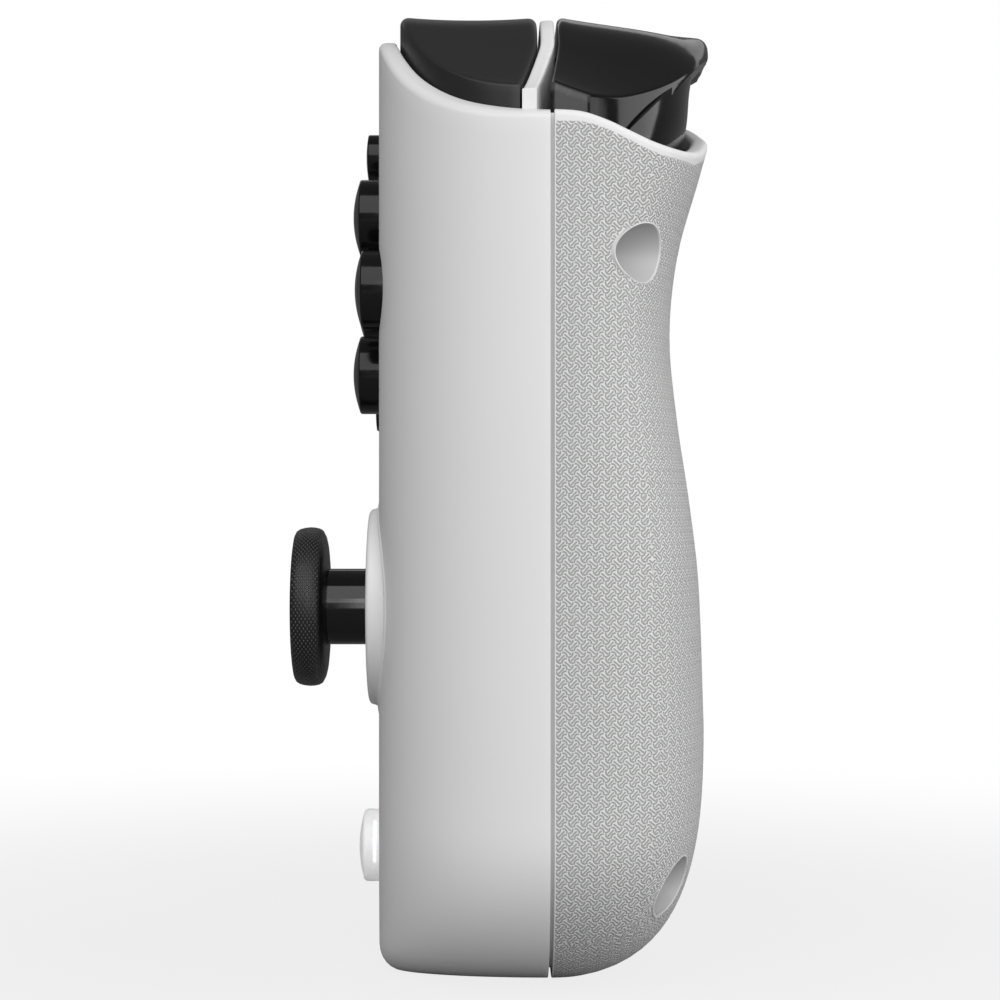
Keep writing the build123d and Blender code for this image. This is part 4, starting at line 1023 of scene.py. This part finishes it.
# the controls on the front face
def frontKeys():
    flangeFront = body["front"] + body["wall"] + 0.05
    for node, k in keys.items():
        radius, dome, edge = k["radius"], k["dome"], k["edge"]
        inside, front = radius - edge, body["front"] - k["proud"]
        profile = [(inside * i / 14, front + dome * (i / 14) ** 2) for i in range(15)]
        profile += arc((inside, front + dome + edge), edge, -72, 0, 6)
        flange, flangeBack = radius + k["flange"], flangeFront + k["thick"]
        stem, stemBack = k["stem"]
        profile += [(radius, flangeFront), (flange, flangeFront), (flange, flangeBack), (stem, flangeBack),
                    (stem, stemBack), (0.0, stemBack)]
        cap = turned(node + "_cap", profile, k["x"], k["z"], slotFinish[k["slot"]], sides=k["sides"])
        dress(cap, node, k["body"])


frontKeys()
print("buttons made")

bezel = {"radius": 11.05, "foot": 12.35, "opening": 9.0, "proud": 1.3, "sleeve": 10.1, "back": -4.5,
         "sides": 144, "round": 0.6, "inner": 0.3, "flare": 1.5, "sunk": 1.4,
         "bead": ((-0.50, 0.16), (-0.40, 0.16), (-0.36, -0.04), (-0.26, -0.13), (-0.12, -0.16), (0.02, -0.12),
                  (0.14, 0.02))}
thumb = {"radius": 8.97, "front": -16.8, "back": -13.4, "shaft": 4.28, "pivot": 3.0, "skirt": 11.0,
         "skirtThickness": 0.8, "skirtAngle": 59.0, "dish": 1.2, "dishEdge": 1.6, "stem": (1.9, 4.0),
         "rim": ((-1.2, 0.03), (-0.77, 0.1), (-0.45, 0.27), (-0.22, 0.6), (-0.08, 1.1), (0.0, 1.75),
                 (-0.03, 2.3), (-0.14, 2.8), (-0.3, 3.1), (-0.4, 3.2), (-0.52, 3.22), (-0.56, 3.28),
                 (-0.7, 3.36), (-1.0, 3.5), (-1.5, 3.62), (-2.3, 3.7)), "hub": (3.68, 3.7, 3.6)}


def stickBezel():
    # a ring whose flank flares out to meet the shell's curved front
    b = bezel
    top, inner, bead = body["front"] - b["proud"], b["inner"], b["bead"]
    points = []
    for i in range(b["sides"]):
        turn = 2 * math.pi * i / b["sides"]
        c, s = math.cos(turn), math.sin(turn)
        meet = frontOutline(stick["x"] + b["foot"] * c, 0.0)
        ring = [(b["sleeve"], b["back"]), (b["opening"], b["back"])]
        ring += arc((b["opening"] + inner, top + inner), inner, 180, 270, 5)
        ring += arc((b["radius"] - b["round"], top + b["round"]), b["round"], 270, 340, 6)
        startR, startY = ring[-1]
        endR, endY = b["foot"] + bead[0][0], meet + bead[0][1]
        for k in range(1, 10):
            out, back = (k / 10) ** b["flare"], 1 - (1 - k / 10) ** b["flare"]
            ring.append((startR + (endR - startR) * out, startY + (endY - startY) * back))
        ring += [(b["foot"] + r, meet + y) for r, y in bead]
        ring += [(b["foot"] + bead[-1][0], meet + b["sunk"]), (b["sleeve"], meet + b["sunk"])]
        points += [(stick["x"] + r * c, y, stick["z"] + r * s) for r, y in ring]
    piece = addPiece("bezel_ring", points, ringFaces(b["sides"], len(ring)), shellFinish)
    dress(piece, "stick_bezel")


def stickCap():
    t = thumb
    r, f = t["radius"], t["front"]
    reach = r - t["dishEdge"]
    profile = [(reach * i / 16, f + t["dish"] * cosine(90 * i / 16) ** 2) for i in range(17)]
    profile += [(r + out, f + deep) for out, deep in t["rim"]]
    hub, side, middle = t["hub"]
    profile += [(hub, f + side), (0.0, f + middle)]
    piece = turned("thumb_cap", profile, stick["x"], stick["z"], knurlFinish, sides=192, crease=30)
    dress(piece, "stick_cap", "thumb_stick")


def stickShaft():
    # the shaft, the round skirt that closes the bezel's opening, and the stem behind it
    t = thumb
    shaft, back, pivot, ball = t["shaft"], t["back"], t["pivot"], t["skirt"]
    touch = math.degrees(math.asin(shaft / ball)) + 2
    profile = [(0.0, back), (shaft, back), (shaft, pivot - ball * cosine(touch) - 0.2)]
    profile += [(ball * sine(a), pivot - ball * cosine(a)) for a in spaced(touch, t["skirtAngle"], 14)]
    under = ball - t["skirtThickness"]
    profile += [(under * sine(a), pivot - under * cosine(a)) for a in spaced(t["skirtAngle"], 12, 12)]
    stem, reach = t["stem"]
    profile.append((stem, pivot - under * cosine(12)))
    end = math.degrees(math.asin(stem / reach))
    profile += [(reach * sine(a), pivot + reach * cosine(a)) for a in spaced(end, 0.0, 5)]
    piece = turned("shaft_and_skirt", profile, stick["x"], stick["z"], shaftFinish, sides=128)
    dress(piece, "stick_shaft", "thumb_stick")


stickBezel()
stickCap()
stickShaft()
print("thumb stick made")

# the rest of the nodes keep their CAD shape
slotOf = {entry["node"]: entry["material_slot"] for entry in frame["record"]["subparts"]}
for name, node in nodes.items():
    finish = slotFinish.get(slotOf.get(name), greyFinish)
    node.data.materials.clear()
    node.data.materials.append(finish)


# floor, backdrop, lights and camera
view = {"eye": (0.308, 0.0064, 0.00075), "lens": 89.24}


def setCamera():
    camera = newObject("camera", bpy.data.cameras.new("camera"))
    camera.location = view["eye"]
    camera.rotation_mode = "XYZ"
    camera.rotation_euler = (math.pi / 2, 0.0, math.pi / 2)
    camera.data.lens = view["lens"]
    camera.data.sensor_width = 36.0
    camera.data.clip_start = 0.01
    scene.camera = camera


setCamera()

lamps = {"key": {"at": (0.99, -0.26, 0.84), "size": (1.9, 1.3), "power": 15.5},
         "level": {"at": (0.75, 0.01, 0.1), "size": (0.13, 0.46), "power": 0.6},
         "side": {"at": (0.62, 0.5, 0.12), "size": (0.5, 0.3), "power": 1.1},
         "back": {"at": (0.0, 1.0, 0.35), "size": (0.8, 0.8), "power": 5.5},
         "top": {"at": (-0.7, 0.1, 0.45), "size": (1.2, 0.16), "power": 0.32}}


def addLamp(name, at, size, power):
    lamp = bpy.data.lights.new(name, "AREA")
    lamp.shape = "RECTANGLE"
    lamp.size, lamp.size_y = size
    lamp.energy = power
    holder = newObject(name, lamp)
    holder.location = at
    holder.rotation_mode = "QUATERNION"
    holder.rotation_quaternion = Vector(at).to_track_quat("Z", "Y")


for name, lamp in lamps.items():
    addLamp(name, **lamp)

surround = {"strength": 0.14, "shown": 1.0}
ground = {"size": 2.4, "height": -51.66, "colour": 0.26, "white": 0.82, "fade": (30.0, 200.0)}


class Surround(Finish):
    def __init__(self):
        self.world = bpy.data.worlds.new("surround")
        self.world.use_nodes = True
        self.tree = self.world.node_tree
        self.tree.nodes.clear()


def setSurround():
    room = Surround()
    quiet, shown = [room.node("ShaderNodeBackground", values={"Color": grey(1.0), "Strength": surround[kind]})
                    for kind in ("strength", "shown")]
    mixed = room.node("ShaderNodeMixShader", values={0: room.seenWhite(), 1: quiet, 2: shown})
    room.node("ShaderNodeOutputWorld", values={0: mixed}, out=None)
    scene.world = room.world


def setFloor():
    # pale floor, nearly white where the camera sees it, so that it keeps the soft shadow
    g = ground
    half = g["size"] / 2 / mm
    points = [(x, y, g["height"]) for x, y in ((-half, -half), (half, -half), (half, half), (-half, half))]
    finish = Finish("pale floor", Roughness=0.9, Specular_IOR_Level=0.0)
    finish.shader.inputs["Base Color"].default_value = grey(g["colour"])
    white = finish.node("ShaderNodeEmission", values={"Color": grey(1.0), "Strength": 1.0})
    plain = Wire(finish, finish.shader.outputs[0])
    x, y, z = finish.axes(finish.place())
    far = finish.smooth((x ** 2.0 + y ** 2.0) ** 0.5, *g["fade"], g["white"], 1.0)
    mixed = finish.node("ShaderNodeMixShader", values={0: finish.seenWhite() * far, 1: plain, 2: white})
    out = next(n for n in finish.tree.nodes if n.type == "OUTPUT_MATERIAL")
    finish.tree.links.new(mixed.socket, out.inputs[0])
    addPiece("floor", points, [(0, 1, 2, 3)], finish.material)


setSurround()
setFloor()
scene.view_settings.view_transform = "Standard"
print("scene ready")
